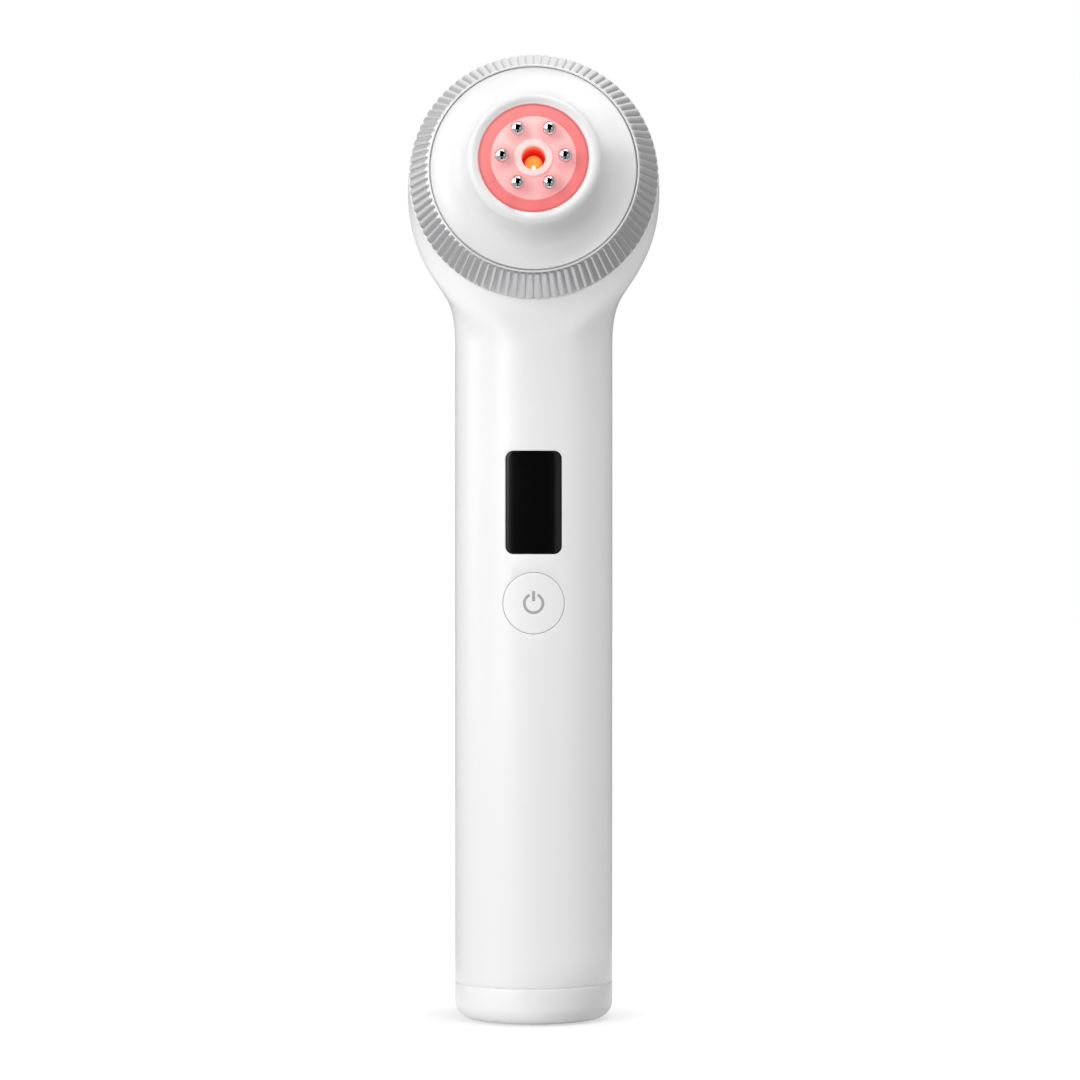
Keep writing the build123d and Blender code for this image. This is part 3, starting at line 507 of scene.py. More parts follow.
def smooth_line(points, start, end, steps):
    """Points along a smooth curve through the given ones, with the directions at its ends."""
    count = len(points)
    spots = [Vector(p) for p in points]
    gaps = [(b - a).length for a, b in zip(spots, spots[1:])]
    slopes = [Vector(start).normalized()]
    for k in range(1, count - 1):
        before = (spots[k] - spots[k - 1]) / gaps[k - 1]
        after = (spots[k + 1] - spots[k]) / gaps[k]
        slopes.append((before * gaps[k] + after * gaps[k - 1]) / (gaps[k] + gaps[k - 1]))
    slopes.append(Vector(end).normalized())
    line = []
    for k in range(count - 1):
        for s in range(steps):
            t = s / steps
            line.append(tuple(
                spots[k] * (2 * t ** 3 - 3 * t ** 2 + 1)
                + slopes[k] * gaps[k] * (t ** 3 - 2 * t ** 2 + t)
                + spots[k + 1] * (3 * t ** 2 - 2 * t ** 3)
                + slopes[k + 1] * gaps[k] * (t ** 3 - t ** 2)))
    return [*line, tuple(spots[-1])]


def rim_foot():
    """Lowest point of the rim in millimetres, and the direction up along the head."""
    head = bpy.context.scene.toner_head
    body = bpy.context.scene.toner_housing
    foot = Vector((0, -body.radius + head.rim_setback, body.neck_z + head.neck_rise)) / MM
    return foot, Vector((0, sin(head.tilt), cos(head.tilt)))


def head_place():
    """Turns and moves the head's own frame, in millimetres, to its place."""
    head = bpy.context.scene.toner_head
    foot, head_up = rim_foot()
    centre = foot + head_up * head.rim_radius / MM
    return Matrix.Translation(centre) @ Matrix.Rotation(pi / 2 - head.tilt, 4, "X")


def on_head(bm):
    """Moves a mesh from the head's own frame to its place."""
    bmesh.ops.transform(bm, matrix=head_place(), verts=bm.verts)
    return bm


def head_spot(finish):
    """Shader coordinates in the head's own frame, in metres."""
    place = head_place()
    return finish.place(place.translation * MM, pi / 2 - bpy.context.scene.toner_head.tilt)


# ---- housing
GROWTH = [0, 0, -0.12, 1.04, 1.14, 1.06, 1]
FRONT_PULL = 3.5
BACK_PULL = 30
RIM_PULL = 32
HALF_SEAM = 0.03
POST_SPREAD = 12.0
POST_RADIUS = 2.5
POST_START = -2.65
POST_END = -45
PILOT_RADIUS = 0.85
PILOT_DEPTH = 7.0
OPENING_DEPTHS = (-20, -8)
HARD_EDGE = 32
ROUNDED_EDGE = 40


def neck_section(t, inset):
    """Middle, half-width and half-depth of the neck's section at a share of its length."""
    body = bpy.context.scene.toner_housing
    head = bpy.context.scene.toner_head
    radius = body.radius / MM
    rim = head.rim_radius / MM
    up = Vector((0, 0, 1))
    foot, head_up = rim_foot()
    head_axis = Vector((0, -cos(head.tilt), sin(head.tilt)))
    front_foot = Vector((0, inset - radius, body.neck_z / MM))
    back_foot = Vector((0, radius - inset, body.neck_z / MM))
    rim_top = foot + head_up * (2 * rim - inset)
    lean = Vector((0, inset, 0))
    front = [
        front_foot, front_foot + up * FRONT_PULL, foot + lean - up * FRONT_PULL,
        foot + head_up * inset]
    back = [
        back_foot, back_foot + up * BACK_PULL, rim_top - head_axis * (RIM_PULL - inset), rim_top]
    low = curve_point(front, t)
    high = curve_point(back, t)
    half_width = radius + (rim - radius) * curve_point(GROWTH, t) - inset
    return (low + high) / 2, half_width, (high - low) / 2


def housing_rings(bm, inset, levels, steps, segments):
    """Rings of vertices up the handle and the neck."""
    body = bpy.context.scene.toner_housing
    radius = body.radius / MM - inset
    foot = body.foot_z / MM
    top = body.neck_z / MM
    rings = []
    for level in range(levels):
        z = foot + (top - foot) * level / levels
        rings.append(row(bm, [(radius * cos(a), radius * sin(a), z) for a in turns(segments)]))
    for step in range(steps + 1):
        middle, wide, deep = neck_section(step / steps, inset)
        rings.append(row(bm, [
            middle + Vector((wide * cos(a), 0, 0)) + deep * sin(a) for a in turns(segments)]))
    return rings


def hollow_housing():
    """The whole housing as one closed wall."""
    bm = bmesh.new()
    wall = bpy.context.scene.toner_housing.wall / MM
    outer = housing_rings(bm, 0.0, levels=48, steps=64, segments=192)
    inner = housing_rings(bm, wall, levels=24, steps=32, segments=192)
    skin(bm, outer + inner[::-1], closed=True)
    return bm


def half_housing(side):
    """The part of the wall on one side of the parting plane, with its cut face closed."""
    bm = hollow_housing()
    split = bpy.context.scene.toner_housing.split_y / MM + side * HALF_SEAM
    everything = bm.verts[:] + bm.edges[:] + bm.faces[:]
    cut = bmesh.ops.bisect_plane(
        bm, geom=everything, dist=0.0005, plane_co=(0, split, 0), plane_no=(0, -side, 0),
        clear_outer=True)
    edges = [item for item in cut["geom_cut"] if isinstance(item, bmesh.types.BMEdge)]
    bmesh.ops.holes_fill(bm, edges=edges, sides=0)
    return bm


def combine(piece, operation, *forms):
    """Cuts closed forms out of a piece, joins them to it or keeps what they share with it."""
    for form in forms:
        step = piece.modifiers.new("Combine", "BOOLEAN")
        step.operation = operation
        step.solver = "EXACT"
        step.object = form
    bake(piece)
    for form in forms:
        bpy.data.objects.remove(form)


def clear_slivers(piece):
    """Takes out the faces without area that joining leaves."""
    bm = bmesh.new()
    bm.from_mesh(piece.data)
    bmesh.ops.dissolve_degenerate(bm, dist=1e-6, edges=bm.edges)
    bm.to_mesh(piece.data)
    bm.free()


def soften(piece, width):
    """Small rounds on the sharp edges of a piece."""
    rounds = piece.modifiers.new("Rounds", "BEVEL")
    rounds.width = width
    rounds.segments = 2
    rounds.limit_method = "ANGLE"
    rounds.angle_limit = radians(ROUNDED_EDGE)
    rounds.harden_normals = False
    rounds.use_clamp_overlap = True
    bake(piece)
    piece.data.set_sharp_from_angle(angle=radians(HARD_EDGE))


def window_outline(inset):
    """Outline of the display window in millimetres, drawn in by the inset."""
    half_width = (high_window.x - low_window.x) / 2 / MM
    half_height = (high_window.z - low_window.z) / 2 / MM
    return rounded_outline(half_width, half_height, WINDOW_CORNER, inset)


def screw_post(side):
    """A post behind the head frame that ends inside the rear wall, with its pilot hole."""
    wall = bpy.context.scene.toner_housing.wall / MM
    pilot_end = POST_START - PILOT_DEPTH
    outline = [
        (PILOT_RADIUS, POST_START), (POST_RADIUS, POST_START), (POST_RADIUS, POST_END),
        (0, POST_END), (0, pilot_end), (PILOT_RADIUS, pilot_end)]
    form = lathe(outline, 48)
    bmesh.ops.translate(form, vec=(side * POST_SPREAD, 0, 0), verts=form.verts)
    post = finished("post_form", on_head(form), shared["shell"])
    core = bmesh.new()
    closed_form(core, housing_rings(core, wall / 2, levels=24, steps=48, segments=96))
    combine(post, "INTERSECT", finished("core_form", core, shared["shell"]))
    clear_slivers(post)
    return post


class TONER_OT_housing(bpy.types.Operator):
    """Front and rear shell with their openings"""
    bl_idname = "toner.housing"
    bl_label = "Housing Shells"

    def execute(self, context):
        body = context.scene.toner_housing
        opening = prism(window_outline(-FIT), WINDOW_Z, OPENING_DEPTHS)
        hole = prism(circle_outline(BUTTON_RADIUS + BUTTON_GAP), BUTTON_Z, OPENING_DEPTHS)
        front = finished("front_housing", half_housing(-1), shared["shell"])
        combine(
            front, "DIFFERENCE", finished("window_opening", opening, shared["shell"]),
            finished("button_opening", hole, shared["shell"]))
        rear = finished("rear_housing", half_housing(1), shared["shell"])
        soften(front, body.edge)
        soften(rear, body.edge)
        for side in (-1, 1):
            combine(rear, "UNION", screw_post(side))
            clear_slivers(rear)
        rear.data.set_sharp_from_angle(angle=radians(HARD_EDGE))
        for piece, node in ((front, "front_shell"), (rear, "rear_shell")):
            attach(piece, "housing")
            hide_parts(node)
        return {"FINISHED"}


class TONER_OT_base(bpy.types.Operator):
    """Rounded cap under the seam, with its slot and screw recesses"""
    bl_idname = "toner.base"
    bl_label = "Bottom Cap"

    def execute(self, context):
        radius = high_cap.x / MM
        seam = low_gasket.z / MM
        rounding, chamfer, floor = 3.2, 0.1, 2
        spigot, bore, lip = 13.25, 11.85, 5
        edge = [
            (radius - rounding + rounding * sin(a), rounding - rounding * cos(a))
            for a in quarter(14)]
        outline = [
            (0, floor), (0, 0), *edge, (radius, seam - chamfer), (radius - chamfer, seam),
            (spigot, seam), (spigot, seam + lip), (bore, seam + lip), (bore, floor + 1.4),
            (bore - 1.4, floor)]
        cap = finished("base_cap", lathe(outline, 192), shared["shell"], angle=40)

        cut_heights = (-1, 3)
        slot_reach, slot_radius, slot_steps = 2.84, 1.78, 32
        turning = [-pi / 2 + pi * k / slot_steps for k in range(slot_steps + 1)]
        slot = [(slot_reach + slot_radius * cos(a), slot_radius * sin(a)) for a in turning]
        slot += [(-x, -y) for x, y in slot]
        cutters = [finished("slot_form", standing_prism(slot, cut_heights), shared["shell"])]
        screw_spread, recess = 7.4, 1.9
        for side in (-1, 1):
            ring = [(side * screw_spread + recess * cos(a), recess * sin(a)) for a in turns(48)]
            form = standing_prism(ring, cut_heights)
            cutters.append(finished("recess_form", form, shared["shell"]))
        combine(cap, "DIFFERENCE", *cutters)
        soften(cap, chamfer * MM)
        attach(cap, "housing")
        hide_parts("bottom_cap")

        inner, outer, top = 13.3, 15.04, seam + 0.3
        seal = eased([(inner, seam), (outer, seam), (outer, top), (inner, top)], [0, 0.1, 0.1, 0])
        soft = moulded("soft_seal", (0.84, 0.84, 0.85), 0.6)
        finished("seam_seal", lathe(seal, 192), soft, ("cap_gasket",))
        return {"FINISHED"}


# ---- copies around the head's axis
def copies_tree():
    """Geometry nodes that turn copies of a piece about Z, and the identifiers of their inputs."""
    tree = bpy.data.node_groups.new("Copies around the axis", "GeometryNodeTree")

    def socket(name, kind, direction="INPUT"):
        return tree.interface.new_socket(
            name, in_out=direction, socket_type="NodeSocket" + kind).identifier

    socket("Geometry", "Geometry")
    inputs = [socket(*facts) for facts in (
        ("Count", "Int"), ("Merge Distance", "Float"), ("Material", "Material"))]
    socket("Geometry", "Geometry", "OUTPUT")

    nodes = Nodes(tree)
    piece, count, merge, material = nodes.node("NodeGroupInput").beside()[:4]
    points = nodes.node("GeometryNodePoints", None, {"Count": count})
    index = nodes.node("GeometryNodeInputIndex")
    turn = nodes.maths("DIVIDE", index, count) * (2 * pi)
    angles = nodes.node("ShaderNodeCombineXYZ", None, {"Z": turn})
    rotation = nodes.node("FunctionNodeEulerToRotation", None, {0: angles})
    copies = nodes.node("GeometryNodeInstanceOnPoints", None, {
        "Points": points, "Instance": piece, "Rotation": rotation})
    real = nodes.node("GeometryNodeRealizeInstances", None, {"Geometry": copies})
    joined = nodes.node("GeometryNodeMergeByDistance", None, {"Geometry": real, "Distance": merge})
    coated = nodes.node("GeometryNodeSetMaterial", None, {"Geometry": joined, "Material": material})
    nodes.node("NodeGroupOutput", None, {0: coated})
    return tree, inputs


def repeated(name, bm, count, material, nodes, angle):
    """Copies of one piece around the head's axis, as one finished piece on the head."""
    piece = finished(name, bm, material)
    tree, inputs = shared["copies"]
    copies = piece.modifiers.new("Copies", "NODES")
    copies.node_group = tree
    for socket, value in zip(inputs, (count, COPIES_MERGE * MM, material)):
        copies[socket] = value
    bake(piece)
    place = head_place()
    place.translation *= MM
    piece.data.transform(place)
    shade_smooth(piece.data, angle)
    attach(piece, "housing")
    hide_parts(*nodes)


def flute_wedge(head):
    """One flute of the ring with its part of the lip and of the hidden wall."""
    back = 0.3
    top = head.ring_height / MM
    rim = head.rim_radius / MM
    front = head.ring_front / MM
    depth = head.flute_depth / MM
    lip = front - head.ring_lip / MM
    flute_top = top - 0.35
    across = [0.5 * sin(pi / 2 * k / 6) for k in range(-6, 7)]
    along = [
        0, 0.012, 0.03, 0.06, 0.11, 0.2, 0.32, 0.44, 0.56, 0.68, 0.79, 0.87, 0.915, 0.95, 0.972,
        0.988, 1.0]
    # the lip, the wall inside it and the hidden back, from a flute's top round to its foot
    plain = [
        (front - 0.10, flute_top + 0.03), (front - 0.08, top - 0.16), (front - 0.12, top - 0.05),
        (front - 0.2, top), (lip + 0.1, top), (lip + 0.02, top - 0.04), (lip, top - 0.12),
        (lip, top - 2.0), (rim - 1.84, back), (rim - depth - 0.12, back)]
    bm = bmesh.new()
    columns = []
    for u in across:
        section = []
        for v in along:
            nose = max(0.0, (v - 0.90) / 0.085, (0.035 - v) / 0.05)
            swell = max(0.0, 1 - (2 * u) ** 2 - nose ** 2) ** 0.62
            radius = rim + (front - rim) * v - depth + depth * swell
            section.append((radius, back + (flute_top - back) * v))
        columns.append(row(bm, turned(section + plain, 2 * pi * u / head.flutes)))
    skin(bm, columns)
    return bm


class TONER_OT_ring(bpy.types.Operator):
    """Fluted silver ring around the head"""
    bl_idname = "toner.ring"
    bl_label = "Fluted Ring"

    def execute(self, context):
        head = context.scene.toner_head
        finish = Finish("silver_ring")
        across, up, out = finish.split(head_spot(finish))
        polish = finish.noise(finish.place(), 0.0004, 3.0)
        inner = head.ring_front - head.ring_lip
        lip = finish.maths(
            "MAXIMUM", finish.step(out, head.ring_height - 0.00033, head.ring_height - 0.00024),
            finish.step(finish.reach(across, up), inner + 0.0001, inner + 0.00005))
        silver = finish.surface(
            base_color=finish.mix(lip, head.metal, (0.90, 0.90, 0.90)), metallic=1.0 - lip * 0.75,
            roughness=0.37 + (polish - 0.5) * 0.08, normal=finish.bump(polish, 0.0000012))
        repeated("fluted_ring", flute_wedge(head), head.flutes, silver, ("head_ring",), 50)
        return {"FINISHED"}


def bell_white(edge):
    """Gloss white, with painted shade at foot, crest and edge, a painted lit flank and a painted
    glow by the lit ring.
    """
    head = bpy.context.scene.toner_head
    nozzle = head.nozzle_radius
    rim = bpy.context.scene.toner_disc.guide_radius
    finish = Finish("gloss_face")
    across, up, out = finish.split(head_spot(finish))
    radial = finish.reach(across, up)
    cloud = finish.noise(finish.place(), 0.02)
    # painted shade at the foot of the nozzle, most on its lower right
    foot = finish.step(radial, 0.0158, nozzle + 0.0002) * finish.step(out, 0.0158, 0.0135)
    foot = foot * finish.step(across * 0.77 - up * 0.64, 0.003, 0.012)
    # painted shade on the nozzle's crest, on its upper left
    crest_shade = finish.step(radial, nozzle + 0.0002, rim + 0.0006)
    crest_shade = crest_shade * finish.step(up * 0.85 - across * 0.53, 0.0055, 0.0110)
    crest_shade = crest_shade * finish.step(out, 0.0145, 0.0152)
    # painted light on the flank to the upper right of the nozzle
    lit = finish.step(radial, nozzle - 0.0002, nozzle + 0.0016)
    lit = lit * finish.step(up, 0.001, 0.006) * finish.step(across, 0.003, 0.009)
    # painted shade along the bell's edge by the ring, strongest on the lower right
    seam = finish.step(radial, edge - 0.00034, edge - 0.00014)
    seam = seam * (finish.step(across * 0.6 - up * 0.8, -0.012, 0.012) * 0.8 + 0.2)
    # painted glow of the lit ring on the nozzle's inner edge
    glow = finish.step(radial, rim + 0.0006, rim + 0.0002)
    tone = head.face
    for share, colour in (
            (foot * 0.85 + cloud * 0.15, scaled(head.face, 0.80)), (crest_shade, scaled(head.face, 0.86)),
            (lit, (0.95, 0.95, 0.95)), (seam, scaled(head.face, 0.42)), (glow, (1.0, 0.92, 0.91))):
        tone = finish.mix(share, tone, colour)
    return finish.surface(
        base_color=tone, roughness=0.36 + (cloud - 0.5) * 0.04, coat_weight=0.12,
        coat_roughness=0.12)


class TONER_OT_bell(bpy.types.Operator):
    """White bell-shaped face with its raised nozzle"""
    bl_idname = "toner.bell"
    bl_label = "Bell and Nozzle"

    def execute(self, context):
        head = context.scene.toner_head
        disc = context.scene.toner_disc
        edge_radius = (head.ring_front - head.ring_lip) / MM - 0.09
        edge_z = head.ring_height / MM - 0.3
        nozzle = head.nozzle_radius / MM
        crown = head.nozzle_height / MM - 1
        inner = disc.guide_radius / MM + FIT
        face = disc.guide_face / MM
        span = edge_radius - nozzle
        rise = crown - edge_z
        flank = smooth_line([
            (edge_radius - 0.12, edge_z), (nozzle + 0.58 * span, edge_z + 0.10 * rise),
            (nozzle + 0.24 * span, edge_z + 0.32 * rise),
            (nozzle + 0.06 * span, edge_z + 0.66 * rise), (nozzle, crown)], (-1, 0), (0, 1), 14)
        peak = inner + 0.57 * (nozzle - inner)
        brow = smooth_line(
            [(nozzle, crown), (peak, crown + 1), (inner, face)], (0, 1), (-0.57, -1), 12)
        socket, seat, shelf = inner - 1.1, face - 1.6, face - 3.3
        shell, shell_z, back = nozzle - 1.7, 9.7, 5.5
        outline = [
            (edge_radius, edge_z - 0.12), *flank, *brow[1:], (inner, seat), (socket, seat),
            (socket, shelf), (shell, shelf), (shell, shell_z), (nozzle + 0.3 * span, back),
            (edge_radius, back)]
        white = bell_white(edge_radius * MM)
        finished("bell_face", on_head(lathe(outline, 224)), white, ("head_bell",), angle=42)
        return {"FINISHED"}


# ---- lit disc, eye and electrodes
def pin_distance(finish, across, up, circle, pins):
    """Distance to the nearest of the pins that stand evenly in a circle."""
    turn = finish.maths("PINGPONG", finish.maths("ARCTAN2", up, across), pi / pins)
    radial = finish.reach(across, up)
    along = radial * finish.maths("COSINE", turn) - circle
    return finish.reach(along, radial * finish.maths("SINE", turn))


def glowing(name, colour, roughness, glow, lift=0.0, rim=None, pins=None):
    """Translucent lit plastic: a faint cloudiness and a soft light of its own.

    Painted light makes one side paler and painted shade the other deeper; the lift is added to the
    paler side's green and blue. Painted shade makes it deeper within a hair of the rim radius, and
    painted shadows deepen it around pins that stand in it.
    """
    finish = Finish(name)
    spot = head_spot(finish)
    across, up, out = finish.split(spot)
    cloud = finish.noise(spot, 0.004)
    # painted light and shade: paler to the upper left, deeper to the lower right
    painted_shade_side = finish.step(across * 0.5 - up * 0.9, -0.010, 0.010)
    deep = scaled(colour, 1.0, 0.86, 0.88)
    red, green, blue = scaled(colour, 1.02, 1.16, 1.16)
    pale = (red, min(1.0, green + lift), min(1.0, blue + lift))
    tone = finish.mix(painted_shade_side * 0.8 + cloud * 0.2, pale, deep)
    if rim:
        # painted shade within a hair of the rim
        edge = finish.step(finish.reach(across, up), rim - 0.0006, rim - 0.0001)
        tone = finish.mix(edge, tone, scaled(deep, 0.78))
    if pins:
        # painted shadows around the pins
        near = finish.step(pin_distance(finish, across, up, *pins), 0.0030, 0.0014)
        tone = finish.mix(near * 0.6, tone, scaled(deep, 1.0, 0.80, 0.84))
    return finish.surface(
        base_color=tone, roughness=roughness + (cloud - 0.5) * 0.06, emission_color=tone,
        emission_strength=glow, coat_weight=0.25, coat_roughness=0.1)


class TONER_OT_disc(bpy.types.Operator):
    """Lit ring and the electrode plate inside it"""
    bl_idname = "toner.disc"
    bl_label = "Lit Disc"

    def execute(self, context):
        disc = context.scene.toner_disc
        outer = disc.guide_radius / MM
        plate = disc.plate_radius / MM
        face = disc.guide_face / MM
        inner = plate + FIT
        back = face - 1.6
        guide = eased(
            [(inner, back), (outer, back), (outer, face), (inner, face)], [0, 0, 0.14, 0.05])
        lit = glowing("lit_ring", disc.guide_colour, 0.3, 0.57, rim=disc.guide_radius)
        finished("lit_ring", on_head(lathe(guide)), lit, ("light_guide",))
        seat = face - SEAT_DEPTH
        bezel = disc.bezel_radius / MM + FIT
        hole = 3.1
        back = face - 1.9
        table = eased(
            [(hole, back), (plate, back), (plate, face), (bezel, face), (bezel, seat),
             (hole, seat)], [0, 0, 0.1, 0.05, 0, 0])
        pink = glowing(
            "lit_plate", disc.plate_colour, 0.32, 0.60, 0.02, pins=(disc.circle, disc.electrodes))
        finished("pin_plate", on_head(lathe(table)), pink, ("electrode_plate",))
        return {"FINISHED"}


class TONER_OT_electrodes(bpy.types.Operator):
    """Ball electrodes in a circle"""
    bl_idname = "toner.electrodes"
    bl_label = "Ball Electrodes"

    def execute(self, context):
        disc = context.scene.toner_disc
        face = disc.guide_face / MM
        ball = disc.ball_radius / MM
        centre = face + disc.ball_lift / MM
        stem = 0.8
        meet = -acos(stem / ball)
        start = meet + 0.12
        steps = 28
        angles = [start + (pi / 2 - start) * k / steps for k in range(steps)]
        back = face - 3.6
        outline = [
            (0, back), (stem - 0.1, back), (stem, back + 0.1),
            (stem, centre + ball * sin(meet) - 0.25),
            *[(ball * cos(a), centre + ball * sin(a)) for a in angles], (0, centre + ball)]
        pin = lathe(outline, 40)
        bmesh.ops.translate(pin, verts=pin.verts, vec=(disc.circle / MM, 0, 0))
        finish = Finish("polished_pin")
        polish = finish.noise(finish.place(), 0.0006, 3.0)
        chrome = finish.surface(
            base_color=(0.90, 0.90, 0.91), metallic=1.0, roughness=0.07 + (polish - 0.5) * 0.05,
            specular_tint=(0.25, 0.22, 0.22))
        repeated("ball_electrodes", pin, disc.electrodes, chrome, ("electrodes",), 60)
        return {"FINISHED"}


class TONER_OT_eye(bpy.types.Operator):
    """Pale bezel, red bore and amber lamp in the middle"""
    bl_idname = "toner.eye"
    bl_label = "Eye and Lamp"

    def execute(self, context):
        disc = context.scene.toner_disc
        face = disc.guide_face / MM
        eye = disc.eye_radius / MM
        bezel = disc.bezel_radius / MM
        seat = face - SEAT_DEPTH
        top = face + SEAT_DEPTH
        rim = eased([(eye, seat), (bezel, seat), (bezel, top), (eye, top)], [0, 0, 0.5, 0.42], 8)
        pale = glowing("pale_bezel", disc.bezel_colour, 0.3, 0.13)
        finished("eye_bezel", on_head(lathe(rim, 120)), pale, ("centre_bezel",), angle=50)

        finish = Finish("red_bore")
        across, up, out = finish.split(head_spot(finish))
        # painted light: paler orange towards the mouth
        mouth_light = finish.step(out, 0.0120, 0.0148)
        # painted shade: darker deep in the bore
        floor = finish.step(out, 0.0095, 0.0125)
        tone = finish.mix(floor, scaled(disc.bore_colour, 0.75), disc.bore_colour)
        tone = finish.mix(mouth_light, tone, (0.80, 0.26, 0.16))
        # its emission is painted light from the lamp on the bore's wall
        red = finish.surface(
            base_color=tone, roughness=0.55, specular_ior_level=0.15, emission_color=tone,
            emission_strength=0.32)
        floor_z = 8.0
        wall = eye + 0.85
        bore = eased([(eye, floor_z), (wall, floor_z), (wall, seat), (eye, seat)], [0, 0, 0, 0.05])
        finished("eye_bore", on_head(lathe(bore, 96)), red, ("centre_reflector",))

        finish = Finish("amber_lamp")
        spot = head_spot(finish)
        across, up, out = finish.split(spot)
        rim = finish.step(finish.reach(across, up), 0.0008, 0.0016)
        # painted glint: the chip's bright point, painted on the dome
        painted_glint = finish.step(finish.reach(across, up + 0.00095), 0.00048, 0.00022)
        tone = finish.mix(rim, disc.lamp_colour, scaled(disc.lamp_colour, 0.8))
        # painted shade: the flange deep in the bore takes the bore's colour
        tone = finish.mix(finish.step(out, 0.0096, 0.0089), tone, disc.bore_colour)
        amber = finish.surface(
            base_color=finish.mix(painted_glint, tone, (1.0, 0.97, 0.85)), roughness=0.15,
            emission_color=finish.mix(painted_glint, tone, (2.6, 2.4, 2.0)), emission_strength=0.5,
            coat_weight=0.6, coat_roughness=0.05)
        flange, flange_z, dome, dome_z = 1.9, floor_z + 0.8, 1.6, 10.3
        lamp = [
            (0, floor_z), (flange, floor_z), (flange, flange_z), (dome, flange_z),
            *[(dome * cos(a), dome_z + dome * sin(a)) for a in quarter(20)[:-1]],
            (0, dome_z + dome)]
        finished("eye_lamp", on_head(lathe(lamp, 72)), amber, ("centre_led",))
        return {"FINISHED"}


# ---- front controls
class TONER_OT_window(bpy.types.Operator):
    """Glossy black display window"""
    bl_idname = "toner.window"
    bl_label = "Display Window"

    def execute(self, context):
        radius = context.scene.toner_housing.radius / MM
        inner = radius - 1.1
        edge = 0.22
        steps = [(3.5, inner), (1.5, inner), (0.0, inner), (0.0, radius - edge)]
        steps += rounded_rim(radius, edge, 5)
        steps += [(inset, radius) for inset in (0.5, 1.0, 1.7, 2.5, 3.4, 4.3, 5.0)]
        pane = inlay(window_outline, WINDOW_Z, steps)

        finish = Finish("black_window")
        spot = finish.place()
        haze = finish.noise(spot, 0.02)
        dust = finish.noise(spot, 0.0008, 3.0)
        tone = finish.mix(haze, (0.0022, 0.0022, 0.0024), (0.0034, 0.0034, 0.0037))
        black = finish.surface(
            base_color=tone, roughness=0.16 + (dust - 0.5) * 0.03, specular_ior_level=0.25)
        finished("display_pane", pane, black, ("display_window",), angle=50)
        return {"FINISHED"}


class TONER_OT_button(bpy.types.Operator):
    """Flush round button with its printed symbol"""
    bl_idname = "toner.button"
    bl_label = "Power Button"

    def execute(self, context):
        body = context.scene.toner_housing
        radius = body.radius / MM
        inner = radius - 2.6
        skirt = radius - 1.85
        edge = 0.12
        steps = [
            (4.5, inner), (2.0, inner), (-0.95, inner), (-0.95, skirt), (0.0, skirt),
            (0.0, radius - edge)]
        steps += rounded_rim(radius, edge, 3)
        steps += [(inset, radius) for inset in (0.4, 0.9, 1.5, 2.2, 3.0, 3.8, 4.6, 5.3)]
        cap = inlay(lambda inset: circle_outline(BUTTON_RADIUS, inset), BUTTON_Z, steps)

        finish = Finish("button_plastic")
        spot = finish.place((0.0, 0.0, (BUTTON_Z - 0.02) * MM))
        across, deep, up = finish.split(spot)
        fine = finish.noise(spot, GRAIN)
        arc_radius, arc_width, gap_slope = 0.00175, 0.00026, 0.46
        bar_width, bar_middle, bar_reach = 0.00028, 0.00136, 0.00095
        radial = finish.reach(across, up)
        arc = finish.maths("LESS_THAN", abs(radial - arc_radius) - arc_width, 0.0)
        gap = finish.maths("GREATER_THAN", abs(across) - up * gap_slope, 0.0)
        bar_edge = finish.maths(
            "MAXIMUM", abs(across) - bar_width, abs(up - bar_middle) - bar_reach)
        bar = finish.maths("LESS_THAN", bar_edge, 0.0)
        print_mask = finish.maths("MAXIMUM", arc * gap, bar)
        white = finish.surface(
            base_color=finish.mix(print_mask, body.colour, body.accent),
            roughness=0.4 + (fine - 0.5) * 0.04, normal=finish.bump(fine, GRAIN_DEPTH))
        finished("round_button", cap, white, ("power_button",), body="button", angle=50)
        return {"FINISHED"}


# ---- carried-over pieces
def coated_board(name, colour):
    """Circuit board with faint tracks under its mask."""
    finish = Finish(name)
    spot = finish.place()
    weave = finish.node(
        "ShaderNodeTexBrick", {"offset": 0.5, "squash": 1.0},
        {"Vector": spot, "Color1": (0, 0, 0, 1), "Color2": (0.2, 0.2, 0.2, 1),
         "Mortar": (1, 1, 1, 1), "Scale": 260.0, "Mortar Size": 0.03})
    tracks = finish.node("ShaderNodeRGBToBW", None, {0: weave}) * 0.5
    tone = finish.mix(tracks, colour, [part * 1.8 + 0.01 for part in colour])
    return finish.surface(base_color=tone, roughness=0.35, coat_weight=0.4)


def wound_wire(name, colour):
    """Close turns of enamelled wire around Z, with painted shade between the turns."""
    finish = Finish(name)
    across, deep, up = finish.split(finish.place())
    wire = 0.0004
    height = finish.maths("SINE", up * (2 * pi / wire)) * 0.5 + 0.5
    return finish.surface(
        # painted shade in the hollows between the turns
        base_color=finish.mix(height, scaled(colour, 0.45), colour), metallic=0.85, roughness=0.35,
        normal=finish.bump(height, wire / 5))


def dress(material, *names):
    """Gives CAD nodes a material."""
    for name in names:
        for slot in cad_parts[name].material_slots:
            slot.material = material


